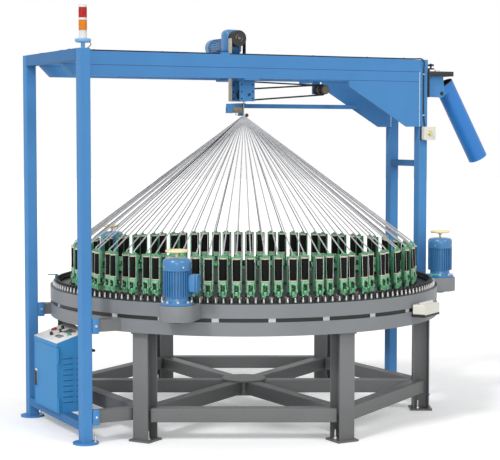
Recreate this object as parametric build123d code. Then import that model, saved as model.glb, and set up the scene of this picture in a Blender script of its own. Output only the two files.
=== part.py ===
from build123d import *
import os
from math import cos, hypot, pi, radians, sin, tan

# Circular maypole braiding machine: grey six-leg base, carrier ring, blue gantry and take-up.
# Millimetres, +Z up. The origin is on the floor, on the axis of the carrier ring.
# Gantry pieces are drawn with X along the long beams and then turned by GANTRY_ANGLE.

# The carrier ring's outer radius, which the base, drives and gantry stand round
RING_R = 1513.0

# Driving sizes of the base
LEGS = 6
STEP_ANGLE = 360 / LEGS
LEG_INSET = 113.0
LEG_CIRCLE_R = RING_R - LEG_INSET
LEG_SECTION = 125.0
LEG_FLANGE = 9.0
LEG_WEB = 7.0
LEG_TOP = 784.0
LEG_PLATE = 170.0
LEG_PLATE_THICK = 14.0
ANCHOR_R = 9.0
ANCHOR_SIDE = 40.0
ANCHOR_RADIAL = 25.0
RAIL_BOTTOM = 138.0
RAIL_HEIGHT = 100.0
RAIL_WIDTH = 100.0
RAIL_ROUND = 6.0
HUB_R = 175.0
HUB_CORE_R = 140.0
HUB_PLATE = 12.0
OVERRUN = 20.0

# Driving sizes of the carrier ring
RING_WIDTH = 406.0
LOWER_RING_HEIGHT = 96.0
LOWER_RING_FLANGE = 60.0
LOWER_RING_WALL = 8.0
SPACERS = 24
SPACER_HEIGHT = 28.0
SPACER_WIDE = 50.0
SPACER_DEEP = 40.0
HOUSING_HEIGHT = 97.0
HOUSING_WALL = 10.0
TRACK_THICK = 8.0
RIM_WIDTH = 145.0
DISC_SIDES = 12
HORN_GEARS = 84
GEAR_CIRCLE_R = RING_R - RING_WIDTH / 2
TRACK_SLOT = 14.0
TRACK_R = GEAR_CIRCLE_R * sin(pi / HORN_GEARS)
HOUSING_BOTTOM = LEG_TOP + LOWER_RING_HEIGHT + SPACER_HEIGHT
DECK_TOP = HOUSING_BOTTOM + HOUSING_HEIGHT + TRACK_THICK

# Carriers, one to each horn gear, and their yarns
CARRIER_BASE = 56.0
CARRIER_SWAY = 16.0
CARRIER_BASE_THICK = 132.0
CARRIER_POST_WIDE = 16.0
CARRIER_POST_THICK = 8.0
CARRIER_HEIGHT = 321.0
CARRIER_ARM = 12.0
SPOOL_R = 27.0
SPOOL_SIDES = 8
SPOOL_HEIGHT = 150.0
SPOOL_LIFT = 5.0
SPINDLE_R = 5.0
YARN_R = 1.3
FORMING_HEIGHT = 2308.0
FORMING_R = 22.0
FORMING_WALL = 6.0
FORMING_THICK = 10.0

# Drive motors with handwheels
MOTOR_ANGLES = {"front": -106.0, "right": 14.0, "rear": 134.0}
MOTOR_STANDOFF = 137.0
MOTOR_CIRCLE_R = RING_R + MOTOR_STANDOFF
MOTOR_R = 84.0
MOTOR_CAP_R = 98.0
MOTOR_CAP_HEIGHT = 86.0
MOTOR_FINS = 16
MOTOR_FIN = 7.0
MOTOR_LENGTH = 320.0
MOTOR_FLANGE_R = 112.0
MOTOR_FLANGE = 22.0
MOTOR_NECK = 30.0
TERMINAL_WIDE = 86.0
TERMINAL_DEEP = 60.0
TERMINAL_HEIGHT = 124.0
POD_R = 124.0
POD_HEIGHT = 128.0
WHEEL_R = 80.0
WHEEL_RIM = 14.0
WHEEL_RIM_HEIGHT = 26.0
WHEEL_WEB = 9.0
WHEEL_HUB_R = 18.0
WHEEL_LIFT = 36.0
SEAT_GAP = 0.3
RUNNING_GAP = 0.05

# Blue gantry, in its own turned frame
GANTRY_ANGLE = 27.0
POST = 80.0
POST_ROUND = 7.0
LEFT_CLEAR = 78.0
LEFT_U = -RING_R - LEFT_CLEAR
LEFT_FRONT_N = -672.0
LEFT_REAR_N = 474.0
RIGHT_CLEAR = 72.0
RIGHT_U = RING_R + RIGHT_CLEAR
RIGHT_FRONT_N = -110.0
RIGHT_REAR_N = 322.0
LEFT_POST_TOP = 2770.0
FOOT_R = 91.0
FOOT_THICK = 12.0
BEAM_TOP = 2785.0
BEAM_UPPER = 100.0
BEAM_LOWER = 80.0
BEAM_BOTTOM = BEAM_TOP - BEAM_UPPER - BEAM_LOWER
GUSSET_LONG = 675.0
GUSSET_SHORT = 125.0
GUSSET_EDGE = 49.0
GUSSET_DROP = 370.0
GUSSET_THICK = 10.0
CROSS_HEIGHT = 80.0
SILL_HEIGHT = 60.0
SILL_TOP = 155.0
TIE_HEIGHT = 50.0
TIE_TOP = 1960.0
LINK_PLATE = 12.0
LINK_WIDE = 80.0

# Signal lamp on the left front post
LAMP_R = 30.0
LAMP_STEM_R = 15.0
LAMP_STEM = 38.0
LAMP_PLATE = 116.0
LAMP_PLATE_THICK = 26.0
LAMP_BASE = 57.0
LAMP_LENS = 72.0
LAMP_BAND = 15.0
LAMP_CAP = 22.0

# Take-up on the beams
CAPSTAN_R = 63.0
CAPSTAN_WIDE = 66.0
CAPSTAN_U = -45.0
CAPSTAN_Z = 2920.0
CAPSTAN_FACE_N = -10.0
SHAFT_R = 14.0
TAKEUP_PLATE = 14.0
TAKEUP_PLATE_LONG = 300.0
GEARBOX = 150.0
GEARBOX_DEEP = 120.0
TAKEUP_MOTOR_R = 68.0
TAKEUP_MOTOR_LONG = 300.0
BAND_WIDE = 56.0
BAND_THICK = 4.0
BOX_PLATE = 12.0
BOX_WIDE = 130.0
BOX_FRONT_N = -62.0
BOX_BACK_N = 96.0
BOX_BOTTOM = 2430.0
BELT_ROLLER_R = 37.0
BELT_ROLLER_U = 16.0
BELT_ROLLER_Z = 2482.0
BELT_PULLEY_R = 33.0
BELT_PULLEY_U = 710.0
BELT_PULLEY_Z = 2530.0
BELT_WIDE = 20.0
BELT_THICK = 5.0
BELT_CLEAR = 0.6
BELT_CENTRE_N = 20.0
PULLEY_RIBS = 5
PULLEY_LONG = 150.0
RIB = 10.0
RIB_DEEP = 4.0
AXLE_R = 10.0
ARM_SECTION = 34.0
ARM_Z = 2400.0
ARM_N = 262.0
ARM_END_INSET = 395.0
ARM_END_U = RIGHT_U - ARM_END_INSET
HANGER = 16.0

# Product guide at the right end
GUIDE_REACH = 255.0
GUIDE_U = RIGHT_U + GUIDE_REACH
GUIDE_Z = 2672.0
GUIDE_R = 21.0
GUIDE_FRONT_N = -150.0
GUIDE_LONG = 240.0
BRACKET_THICK = 12.0
BRACKET_HEIGHT = 70.0
TUBE_R = 80.0
TUBE_WALL = 5.0
TUBE_LONG = 720.0
TUBE_STAVES = 12
TUBE_TILT = 30.0
TUBE_AXIS_SHARE = 1.4
TUBE_REACH = 197.0
TUBE_PIVOT_U = RIGHT_U + TUBE_REACH
TUBE_PIVOT_Z = 2512.0
LUG_R = 34.0
LUG_THICK = 14.0
KNOB_R = 22.0
KNOB_THICK = 20.0
KNOB_REACH = 83.0
KNOB_U = RIGHT_U + KNOB_REACH

# Small controls
SWITCH_BOX_WIDE = 112.0
SWITCH_BOX_DEEP = 58.0
SWITCH_BOX_HEIGHT = 110.0
SWITCH_BOX_TOP = 2236.0
SWITCH_BOX_OFFSET = 27.0
SWITCH_BOX_U = RIGHT_U + SWITCH_BOX_OFFSET
BUTTON_R = 15.0
BUTTON_TALL = 16.0
BUTTON_SEAT = 5.0
BUTTON_POCKET = 10.0
STATION_ANGLE = -31.0
STATION_LONG = 262.0
STATION_DEEP = 96.0
STATION_HEIGHT = 72.0
STATION_BOTTOM = 861.0
STATION_TRAY = 18.0
STATION_PITCH = 56.0
STATION_BUTTONS = 4
STOP_ANGLES = {"left": 183.0, "right": -3.0}
STOP_INSET = 45.0
STOP_R = RING_R - STOP_INSET
STOP_WIDE = 46.0
STOP_HEIGHT = 60.0
LEVER_LONG = 70.0
LEVER_THICK = 8.0

# Control cabinet on the sill between the left posts
CABINET_OVERHANG = 69.0
CABINET_OUT_U = LEFT_U - CABINET_OVERHANG
CABINET_DEEP = 256.0
CABINET_FRONT_N = -280.0
CABINET_WIDE = 500.0
CABINET_LOW = 662.0
CABINET_HIGH = 742.0
CABINET_WALL = 3.0
DOOR_THICK = 18.0
DOOR_GAP = 1.0
DOOR_TOP_INSET = 30.0
DOOR_BORDER = 8.0
HANDLE_LONG = 110.0
HANDLE_WIDE = 24.0
HANDLE_THICK = 14.0
HANDLE_INSET = 46.0
PANEL_BUTTON_TALL = 22.0
MUSHROOM_R = 21.0
SELECTOR_R = 15.0
START_R = 13.0
MAIN_SWITCH_R = 38.0
MAIN_SWITCH_TALL = 60.0
PANEL_SHARES = {"emergency_button": 0.80, "selector_knob": 0.52, "start_button": 0.16}


def block(x0, x1, y0, y1, z0, z1):
    """A box between two corners."""
    return Pos((x0 + x1) / 2, (y0 + y1) / 2, (z0 + z1) / 2) * Box(x1 - x0, y1 - y0, z1 - z0)


def rod(radius, z0, z1):
    """An upright cylinder."""
    return Pos(0, 0, (z0 + z1) / 2) * Cylinder(radius, z1 - z0)


def tube(outer, inner, z0, z1):
    return rod(outer, z0, z1) - rod(inner, z0 - OVERRUN, z1 + OVERRUN)


def across(radius, u, z, n0, n1):
    """A cylinder along the gantry's cross direction."""
    return Pos(u, (n0 + n1) / 2, z) * Rot(90, 0, 0) * Cylinder(radius, n1 - n0)


def slab(outline, n0, n1):
    """A plate with its outline in the gantry's upright plane, between two cross positions."""
    plane = Plane(Vector(0, n1, 0), x_dir=(1, 0, 0), z_dir=(0, -1, 0))
    return extrude(plane * Polygon(*outline, align=None), n1 - n0, dir=(0, -1, 0))


def polar(angle, radius=0):
    return Rot(0, 0, angle) * Pos(radius, 0, 0)


def gantry(piece):
    return Rot(0, 0, GANTRY_ANGLE) * piece


def save(node, *pieces):
    """Write one sub-part, with each separate solid kept."""
    solids = [solid for piece in pieces for solid in piece.solids()]
    export_step(solids[0] if len(solids) == 1 else Compound(children=solids), f"parts/{node}.step")


def square_tube(length, height, width):
    """A square tube along X, centred on Y and standing on Z zero."""
    section = Plane.YZ * Pos(0, height / 2) * RectangleRounded(width, height, RAIL_ROUND)
    return extrude(section, length)


def leg():
    """H column with its floor plate, anchor holes and top pad."""
    half = LEG_SECTION / 2
    flange = block(half - LEG_FLANGE, half, -half, half, LEG_PLATE_THICK, LEG_TOP - LEG_PLATE_THICK)
    web = block(-half, half, -LEG_WEB / 2, LEG_WEB / 2, LEG_PLATE_THICK, LEG_TOP - LEG_PLATE_THICK)
    foot = block(-LEG_PLATE / 2, LEG_PLATE / 2, -LEG_PLATE / 2, LEG_PLATE / 2, 0, LEG_PLATE_THICK)
    for sign in (1, -1):
        foot -= Pos(sign * ANCHOR_RADIAL, sign * ANCHOR_SIDE, 0) * rod(ANCHOR_R, -OVERRUN, OVERRUN)
    pad = block(-LEG_PLATE / 2, LEG_PLATE / 2, -half, half, LEG_TOP - LEG_PLATE_THICK, LEG_TOP)
    return [flange + Rot(0, 0, 180) * flange + web, foot, pad]


def make_base():
    """Legs, rails round and across, and the middle hub."""
    half = LEG_SECTION / 2
    save("leg_columns", *[polar(i * STEP_ANGLE, LEG_CIRCLE_R) * piece for i in range(LEGS) for piece in leg()])
    apothem = LEG_CIRCLE_R * cos(pi / LEGS)
    side = 2 * LEG_CIRCLE_R * sin(pi / LEGS)
    section = (RAIL_HEIGHT, RAIL_WIDTH)
    rail = Pos(apothem, -side / 2, RAIL_BOTTOM) * Rot(0, 0, 90) * square_tube(side, *section)
    for sign in (1, -1):
        column = block(-LEG_PLATE, half, -half, half, 0, LEG_TOP)
        rail -= polar(sign * STEP_ANGLE / 2, LEG_CIRCLE_R) * column
        rail -= polar(sign * STEP_ANGLE / 2, LEG_CIRCLE_R) * Pos(half, 0, 0) * column
    rail = max(rail.solids(), key=lambda solid: solid.volume)
    save("perimeter_rails", *[polar((i + 0.5) * STEP_ANGLE) * rail for i in range(LEGS)])
    core = Pos(0, 0, RAIL_BOTTOM - HUB_PLATE) * extrude(RegularPolygon(HUB_CORE_R, LEGS), RAIL_HEIGHT + HUB_PLATE)
    cap = rod(HUB_R, RAIL_BOTTOM + RAIL_HEIGHT, RAIL_BOTTOM + RAIL_HEIGHT + HUB_PLATE)
    save("center_hub", core + cap)
    start = HUB_CORE_R - RAIL_WIDTH / 2
    spoke = Pos(start, 0, RAIL_BOTTOM) * square_tube(LEG_CIRCLE_R - half - start, *section) - core
    save("radial_beams", *[polar(i * STEP_ANGLE) * spoke for i in range(LEGS)])


def make_ring():
    """Channel ring on the legs, spacers, the closed gear housing and its tracks."""
    top = LEG_TOP + LOWER_RING_HEIGHT
    inner = RING_R - LOWER_RING_FLANGE
    channel = tube(RING_R, inner, LEG_TOP, top)
    channel -= tube(RING_R - LOWER_RING_WALL, inner - OVERRUN, LEG_TOP + LOWER_RING_WALL, top - LOWER_RING_WALL)
    spacer = block(-SPACER_DEEP / 2, SPACER_DEEP / 2, -SPACER_WIDE / 2, SPACER_WIDE / 2, top, HOUSING_BOTTOM)
    spots = [polar((i + 0.5) * 360 / SPACERS, RING_R - LOWER_RING_FLANGE / 2) for i in range(SPACERS)]
    save("lower_ring", channel)
    save("ring_spacers", *[spot * spacer for spot in spots])
    deck = DECK_TOP - TRACK_THICK
    housing = tube(RING_R, RING_R - RING_WIDTH, HOUSING_BOTTOM, deck)
    hollow_r = RING_R - HOUSING_WALL
    hollow = tube(hollow_r, RING_R - RING_WIDTH + HOUSING_WALL, HOUSING_BOTTOM + HOUSING_WALL, deck - HOUSING_WALL)
    save("gear_housing", housing - hollow)
    outer_rim = tube(RING_R, RING_R - RIM_WIDTH, deck, DECK_TOP)
    inner_r = RING_R - RING_WIDTH
    inner_rim = tube(inner_r + RIM_WIDTH, inner_r, deck, DECK_TOP)
    save("track_rims", outer_rim, inner_rim)
    disc = Pos(0, 0, deck) * extrude(RegularPolygon(TRACK_R - TRACK_SLOT / 2, DISC_SIDES), TRACK_THICK)
    save("track_discs", *[polar(i * 360 / HORN_GEARS, GEAR_CIRCLE_R) * disc for i in range(HORN_GEARS)])


def carrier():
    """Carrier frame: base on the tracks, side post, top arm with its eye."""
    half = CARRIER_BASE / 2
    top = DECK_TOP + CARRIER_HEIGHT
    base = block(-half, half, -half, half, DECK_TOP, DECK_TOP + CARRIER_BASE_THICK)
    out = half + CARRIER_POST_THICK
    post = block(half, out, -CARRIER_POST_WIDE / 2, CARRIER_POST_WIDE / 2, DECK_TOP, top)
    arm = block(-CARRIER_ARM, out, -CARRIER_POST_WIDE / 2, CARRIER_POST_WIDE / 2, top - CARRIER_ARM, top)
    seat = DECK_TOP + CARRIER_BASE_THICK
    collar = block(-SPINDLE_R, SPINDLE_R, -SPINDLE_R, SPINDLE_R, seat, seat + SPOOL_LIFT)
    return base + post + arm + collar


def yarn(start, end):
    """A taut strand as a slim three-sided bar."""
    line = Vector(*end) - Vector(*start)
    return extrude(Plane(Vector(*start), z_dir=line.normalized()) * RegularPolygon(YARN_R, 3), line.length)


def make_carriers():
    """Carriers stand by the crossings between gears, in turn just outside and inside them."""
    frames, spools, yarns = [], [], []
    low = DECK_TOP + CARRIER_BASE_THICK + SPOOL_LIFT
    spool = Pos(0, 0, low) * extrude(RegularPolygon(SPOOL_R, SPOOL_SIDES), SPOOL_HEIGHT)
    eye = DECK_TOP + CARRIER_HEIGHT + YARN_R
    for i in range(HORN_GEARS):
        angle = (i + 0.5) * 360 / HORN_GEARS
        side = 1 if i % 2 == 0 else -1
        radius = GEAR_CIRCLE_R + side * CARRIER_SWAY
        spot = polar(angle, radius)
        frames.append(spot * carrier())
        spools.append(spot * spool)
        turn = (cos(radians(angle)), sin(radians(angle)))
        start = (radius * turn[0], radius * turn[1], eye)
        ring = FORMING_R - FORMING_WALL
        yarns.append(yarn(start, (ring * turn[0], ring * turn[1], FORMING_HEIGHT)))
    save("carrier_frames", *frames)
    save("spools", *spools)
    save("yarn_strands", *yarns)


def motor():
    """Flange motor standing on its pod, with fins and fan cap."""
    cap_low = MOTOR_LENGTH - MOTOR_CAP_HEIGHT
    fin_low = MOTOR_FLANGE + MOTOR_NECK
    body = rod(MOTOR_FLANGE_R, 0, MOTOR_FLANGE) + rod(MOTOR_R, 0, MOTOR_LENGTH)
    body += rod(MOTOR_CAP_R, cap_low, MOTOR_LENGTH)
    for i in range(MOTOR_FINS):
        fin = block(0, MOTOR_CAP_R, -MOTOR_FIN / 2, MOTOR_FIN / 2, fin_low, cap_low)
        body += polar((i + 0.5) * 360 / MOTOR_FINS) * fin
    return body


def handwheel():
    """Dished wheel with a rim and hub."""
    low = WHEEL_LIFT
    rim = tube(WHEEL_R, WHEEL_R - WHEEL_RIM, low, low + WHEEL_RIM_HEIGHT)
    web = rod(WHEEL_R - WHEEL_RIM / 2, low, low + WHEEL_WEB)
    return rim + web + rod(WHEEL_HUB_R, SEAT_GAP, low + WHEEL_RIM_HEIGHT)


def make_drives():
    """Three motors round the ring, each over a rounded pod."""
    pod_top = DECK_TOP
    motors, boxes, pods = [], [], []
    out = MOTOR_CAP_R
    terminal = block(-TERMINAL_WIDE / 2, TERMINAL_WIDE / 2, out, out + TERMINAL_DEEP, 0, TERMINAL_HEIGHT)
    terminal += block(-RIB, RIB, 0, out, 0, TERMINAL_HEIGHT) - rod(MOTOR_R, 0, TERMINAL_HEIGHT)
    terminal = Pos(0, 0, MOTOR_FLANGE + MOTOR_NECK + MOTOR_FLANGE) * terminal
    pod = rod(POD_R, pod_top - POD_HEIGHT, pod_top)
    pod += block(RING_R - SPACER_WIDE - MOTOR_CIRCLE_R, 0, -POD_R, POD_R, pod_top - POD_HEIGHT, pod_top)
    pod = Pos(MOTOR_CIRCLE_R, 0, 0) * pod - rod(RING_R, 0, DECK_TOP + OVERRUN)
    for name, angle in MOTOR_ANGLES.items():
        spot = polar(angle, MOTOR_CIRCLE_R) * Pos(0, 0, pod_top)
        motors.append(spot * motor())
        boxes.append(spot * terminal)
        pods.append(polar(angle) * pod)
        save(f"handwheel_{name}", spot * Pos(0, 0, MOTOR_LENGTH) * handwheel())
    save("motor_frames", *motors)
    save("motor_terminal_boxes", *boxes)
    save("drive_pods", *pods)


def post(u, n, top):
    """Square tube post on a round foot."""
    column = Pos(u, n, FOOT_THICK) * extrude(RectangleRounded(POST, POST, POST_ROUND), top - FOOT_THICK)
    return [column, Pos(u, n, 0) * rod(FOOT_R, 0, FOOT_THICK)]


def long_beam(n):
    """Stacked tubes with a bevelled left end, and the corner gusset welded on at the right."""
    left = LEFT_U + POST / 2
    inner = RIGHT_U - POST / 2
    outer = RIGHT_U + POST / 2
    step = BEAM_TOP - BEAM_UPPER
    bevel = BEAM_LOWER
    outline = [(left, BEAM_TOP), (outer, BEAM_TOP), (outer, step), (inner, step), (inner, BEAM_BOTTOM)]
    outline += [(left + bevel, BEAM_BOTTOM), (left, step)]
    beam = slab(outline, n - POST / 2, n + POST / 2)
    low = BEAM_BOTTOM - GUSSET_DROP
    web = [(inner - GUSSET_LONG, BEAM_BOTTOM), (inner - GUSSET_LONG, BEAM_BOTTOM - GUSSET_EDGE)]
    web += [(inner - GUSSET_SHORT, low), (inner, low), (inner, BEAM_BOTTOM)]
    return beam, slab(web, n - POST / 2, n - POST / 2 + GUSSET_THICK)


def link(n, low, high, reach):
    """Grey stub with its end plate, from a left post in towards the base."""
    face = LEFT_U + POST / 2
    plate = block(face, face + LINK_PLATE, n - POST / 2, n + POST / 2, low, high)
    return plate + block(face, reach, n - LINK_WIDE / 2, n + LINK_WIDE / 2, low + LINK_PLATE / 2, high - LINK_PLATE / 2)


def make_gantry():
    """Posts, long beams, cross pieces and the stubs that tie them to the base."""
    right_top = BEAM_TOP - BEAM_UPPER
    posts = post(LEFT_U, LEFT_FRONT_N, LEFT_POST_TOP) + post(LEFT_U, LEFT_REAR_N, LEFT_POST_TOP)
    posts += post(RIGHT_U, RIGHT_FRONT_N, right_top) + post(RIGHT_U, RIGHT_REAR_N, right_top)
    save("gantry_posts", *[gantry(piece) for piece in posts])
    save("long_beams", *[gantry(piece) for n in (RIGHT_FRONT_N, RIGHT_REAR_N) for piece in long_beam(n)])
    half = POST / 2
    left_span = (LEFT_U - half, LEFT_U + half, LEFT_FRONT_N + half, LEFT_REAR_N - half)
    header = block(*left_span, LEFT_POST_TOP - CROSS_HEIGHT, LEFT_POST_TOP)
    sill = block(*left_span, SILL_TOP - SILL_HEIGHT, SILL_TOP)
    tie = block(RIGHT_U - half, RIGHT_U + half, RIGHT_FRONT_N + half, RIGHT_REAR_N - half, TIE_TOP - TIE_HEIGHT, TIE_TOP)
    save("cross_beams", gantry(header), gantry(sill), gantry(tie))
    ring_top = LEG_TOP + LOWER_RING_HEIGHT
    apothem = LEG_CIRCLE_R * cos(pi / LEGS)
    rail_face = Rot(0, 0, 180 + STEP_ANGLE / 2) * block(0, apothem + RAIL_WIDTH / 2, -LEG_CIRCLE_R, LEG_CIRCLE_R, 0, LEG_TOP)
    pieces = []
    for n in (LEFT_FRONT_N, LEFT_REAR_N):
        upper = gantry(link(n, LEG_TOP, ring_top, -FOOT_R)) - rod(RING_R, 0, DECK_TOP)
        lower = gantry(link(n, RAIL_BOTTOM, RAIL_BOTTOM + RAIL_HEIGHT, -FOOT_R)) - rail_face
        lower -= polar(180 + STEP_ANGLE, LEG_CIRCLE_R) * block(-LEG_PLATE, LEG_SECTION / 2, -LEG_PLATE / 2, LEG_PLATE / 2, 0, LEG_TOP)
        pieces += [max(piece.solids(), key=lambda solid: -solid.center().X) for piece in (upper, lower)]
    for n in (RIGHT_FRONT_N, RIGHT_REAR_N):
        stub = block(0, RIGHT_U - half, n - LINK_WIDE / 2, n + LINK_WIDE / 2, LEG_TOP, ring_top)
        pieces.append(gantry(stub) - rod(RING_R, 0, DECK_TOP))
    save("link_beams", *pieces)


def make_lamp():
    """Two-colour signal lamp on the left front post."""
    spot = Pos(LEFT_U, LEFT_FRONT_N, LEFT_POST_TOP)
    half = LAMP_PLATE / 2
    plate_top = LAMP_STEM + LAMP_PLATE_THICK
    body = rod(LAMP_STEM_R, 0, LAMP_STEM) + block(-half, half, -half, half, LAMP_STEM, plate_top)
    body += rod(LAMP_R, plate_top, plate_top + LAMP_BASE)
    amber = plate_top + LAMP_BASE
    red = amber + LAMP_LENS + LAMP_BAND
    save("lamp_base", gantry(spot * body))
    save("lamp_lens_amber", gantry(spot * rod(LAMP_R, amber, amber + LAMP_LENS)))
    save("lamp_band", gantry(spot * rod(LAMP_R, amber + LAMP_LENS, red)))
    save("lamp_lens_red", gantry(spot * rod(LAMP_R, red, red + LAMP_LENS)))
    cap = fillet(rod(LAMP_R, red + LAMP_LENS, red + LAMP_LENS + LAMP_CAP).edges().group_by(Axis.Z)[-1], LAMP_CAP / 2)
    save("lamp_cap", gantry(spot * cap))


def belt_loop(clear):
    """Open belt round the two pulleys, with its running clearance."""
    along = (BELT_PULLEY_U - BELT_ROLLER_U, 0, BELT_PULLEY_Z - BELT_ROLLER_Z)
    span = hypot(*along)
    wide, narrow = BELT_ROLLER_R + clear, BELT_PULLEY_R + clear
    lean = (wide - narrow) / span
    rise = (1 - lean * lean) ** 0.5
    corners = [(wide * lean, wide * rise), (span + narrow * lean, narrow * rise)]
    corners += [(span + narrow * lean, -narrow * rise), (wide * lean, -wide * rise)]
    plane = Plane(Vector(BELT_ROLLER_U, BELT_CENTRE_N + BELT_WIDE / 2, BELT_ROLLER_Z), x_dir=along, z_dir=(0, -1, 0))
    flat = Polygon(*corners, align=None) + Circle(wide) + Pos(span, 0) * Circle(narrow)
    return extrude(plane * flat, BELT_WIDE, dir=(0, -1, 0))


def make_takeup():
    """Geared motor and capstan on top, roller box, belt and forming arm below."""
    face = CAPSTAN_FACE_N
    back = face + CAPSTAN_WIDE
    wheel = across(CAPSTAN_R, CAPSTAN_U, CAPSTAN_Z, face, back)
    groove = across(CAPSTAN_R + OVERRUN, CAPSTAN_U, CAPSTAN_Z, face + RIB_DEEP, back - RIB_DEEP)
    groove -= across(CAPSTAN_R - RIB_DEEP, CAPSTAN_U, CAPSTAN_Z, face, back)
    box_front = back + RIB
    wheel = wheel - groove + across(SHAFT_R, CAPSTAN_U, CAPSTAN_Z, back, box_front - SEAT_GAP)
    save("takeup_capstan", gantry(wheel))
    plate_top = BEAM_TOP + TAKEUP_PLATE
    middle = CAPSTAN_U - GEARBOX / 2
    long = TAKEUP_PLATE_LONG / 2
    rest = block(middle - long, middle + long, box_front, RIGHT_REAR_N + POST / 2, BEAM_TOP, plate_top)
    rest += block(middle - long, middle - long / 2, RIGHT_FRONT_N - POST / 2, box_front, BEAM_TOP, plate_top)
    save("takeup_plate", gantry(rest))
    box_back = box_front + GEARBOX_DEEP
    box_top = CAPSTAN_Z + GEARBOX / 2
    gearbox = block(CAPSTAN_U - GEARBOX / 2, CAPSTAN_U + GEARBOX / 2, box_front, box_back, plate_top, box_top)
    gearbox = fillet(gearbox.edges().filter_by(Axis.Y), RIB)
    motor_z = plate_top + TAKEUP_MOTOR_R
    gearbox += across(TAKEUP_MOTOR_R, CAPSTAN_U, motor_z, box_back, box_back + TAKEUP_MOTOR_LONG)
    save("takeup_gearmotor", gantry(gearbox))
    plates = []
    for n in (BOX_FRONT_N, BOX_BACK_N - BOX_PLATE):
        plate = block(-BOX_WIDE / 2, BOX_WIDE / 2, n, n + BOX_PLATE, BOX_BOTTOM, BEAM_BOTTOM)
        plates.append(plate - across(AXLE_R + RUNNING_GAP, BELT_ROLLER_U, BELT_ROLLER_Z, n - OVERRUN, n + OVERRUN))
    bridge_n = RIGHT_FRONT_N - POST / 2, RIGHT_REAR_N + POST / 2
    bridge = block(-BOX_WIDE / 2, BOX_WIDE / 2, *bridge_n, BEAM_BOTTOM - BOX_PLATE, BEAM_BOTTOM)
    save("roller_box", gantry(plates[0] + plates[1] + bridge))
    inside = BOX_FRONT_N + BOX_PLATE + SEAT_GAP, BOX_BACK_N - BOX_PLATE - SEAT_GAP
    roller = across(BELT_ROLLER_R, BELT_ROLLER_U, BELT_ROLLER_Z, *inside)
    roller += across(AXLE_R, BELT_ROLLER_U, BELT_ROLLER_Z, BOX_FRONT_N - RIB, BOX_BACK_N + RIB)
    save("belt_roller", gantry(roller))
    start = BELT_CENTRE_N - PULLEY_LONG / 2
    pulley = across(BELT_PULLEY_R, BELT_PULLEY_U, BELT_PULLEY_Z, start, start + PULLEY_LONG)
    hanger_n = start + PULLEY_LONG + SEAT_GAP
    pulley += across(AXLE_R, BELT_PULLEY_U, BELT_PULLEY_Z, start, hanger_n + HANGER)
    save("belt_pulley", gantry(pulley))
    hanger = block(BELT_PULLEY_U - LUG_R, BELT_PULLEY_U + LUG_R, hanger_n, hanger_n + HANGER, BELT_PULLEY_Z - LUG_R, BEAM_BOTTOM)
    hanger += block(BELT_PULLEY_U - LUG_R, BELT_PULLEY_U + LUG_R, hanger_n, RIGHT_REAR_N, BEAM_BOTTOM - HANGER, BEAM_BOTTOM)
    hanger -= across(AXLE_R + RUNNING_GAP, BELT_PULLEY_U, BELT_PULLEY_Z, 0, RIGHT_REAR_N)
    save("pulley_hanger", gantry(hanger))
    save("drive_belt", gantry(belt_loop(BELT_CLEAR + BELT_THICK) - belt_loop(BELT_CLEAR)))
    half = ARM_SECTION / 2
    arm = block(-half, ARM_END_U, ARM_N - half, ARM_N + half, ARM_Z - half, ARM_Z + half)
    arm += block(-half, half, 0, ARM_N, ARM_Z - half, ARM_Z + half)
    arm += block(ARM_END_U - half, ARM_END_U, ARM_N, RIGHT_REAR_N - POST / 2, ARM_Z - half, ARM_Z + half)
    stem_low = FORMING_HEIGHT + FORMING_THICK
    neck = FORMING_R + half
    arm += block(-half, half, neck, neck + ARM_SECTION, stem_low, ARM_Z)
    arm += block(-half, half, FORMING_R - FORMING_WALL / 2, neck + ARM_SECTION, stem_low, stem_low + FORMING_THICK)
    arm -= rod(FORMING_R - FORMING_WALL, 0, ARM_Z + ARM_SECTION)
    save("forming_arm", gantry(arm))
    save("forming_ring", tube(FORMING_R, FORMING_R - FORMING_WALL, stem_low - FORMING_THICK / 2, stem_low))
    band_u = CAPSTAN_U - CAPSTAN_R + RIB_DEEP - SEAT_GAP
    mid = (face + back) / 2
    band_n = mid - BAND_WIDE / 2, mid + BAND_WIDE / 2
    lead = block(-RIB_DEEP, RIB_DEEP, -RIB_DEEP, RIB_DEEP, stem_low - FORMING_THICK, ARM_Z + ARM_SECTION)
    turn_low = ARM_Z + ARM_SECTION
    upper = block(band_u - BAND_THICK, band_u, *band_n, turn_low, CAPSTAN_Z)
    shelf = block(band_u - BAND_THICK, RIB_DEEP, *band_n, turn_low - BAND_THICK, turn_low)
    save("braid_band", gantry(lead + shelf + upper))


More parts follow.
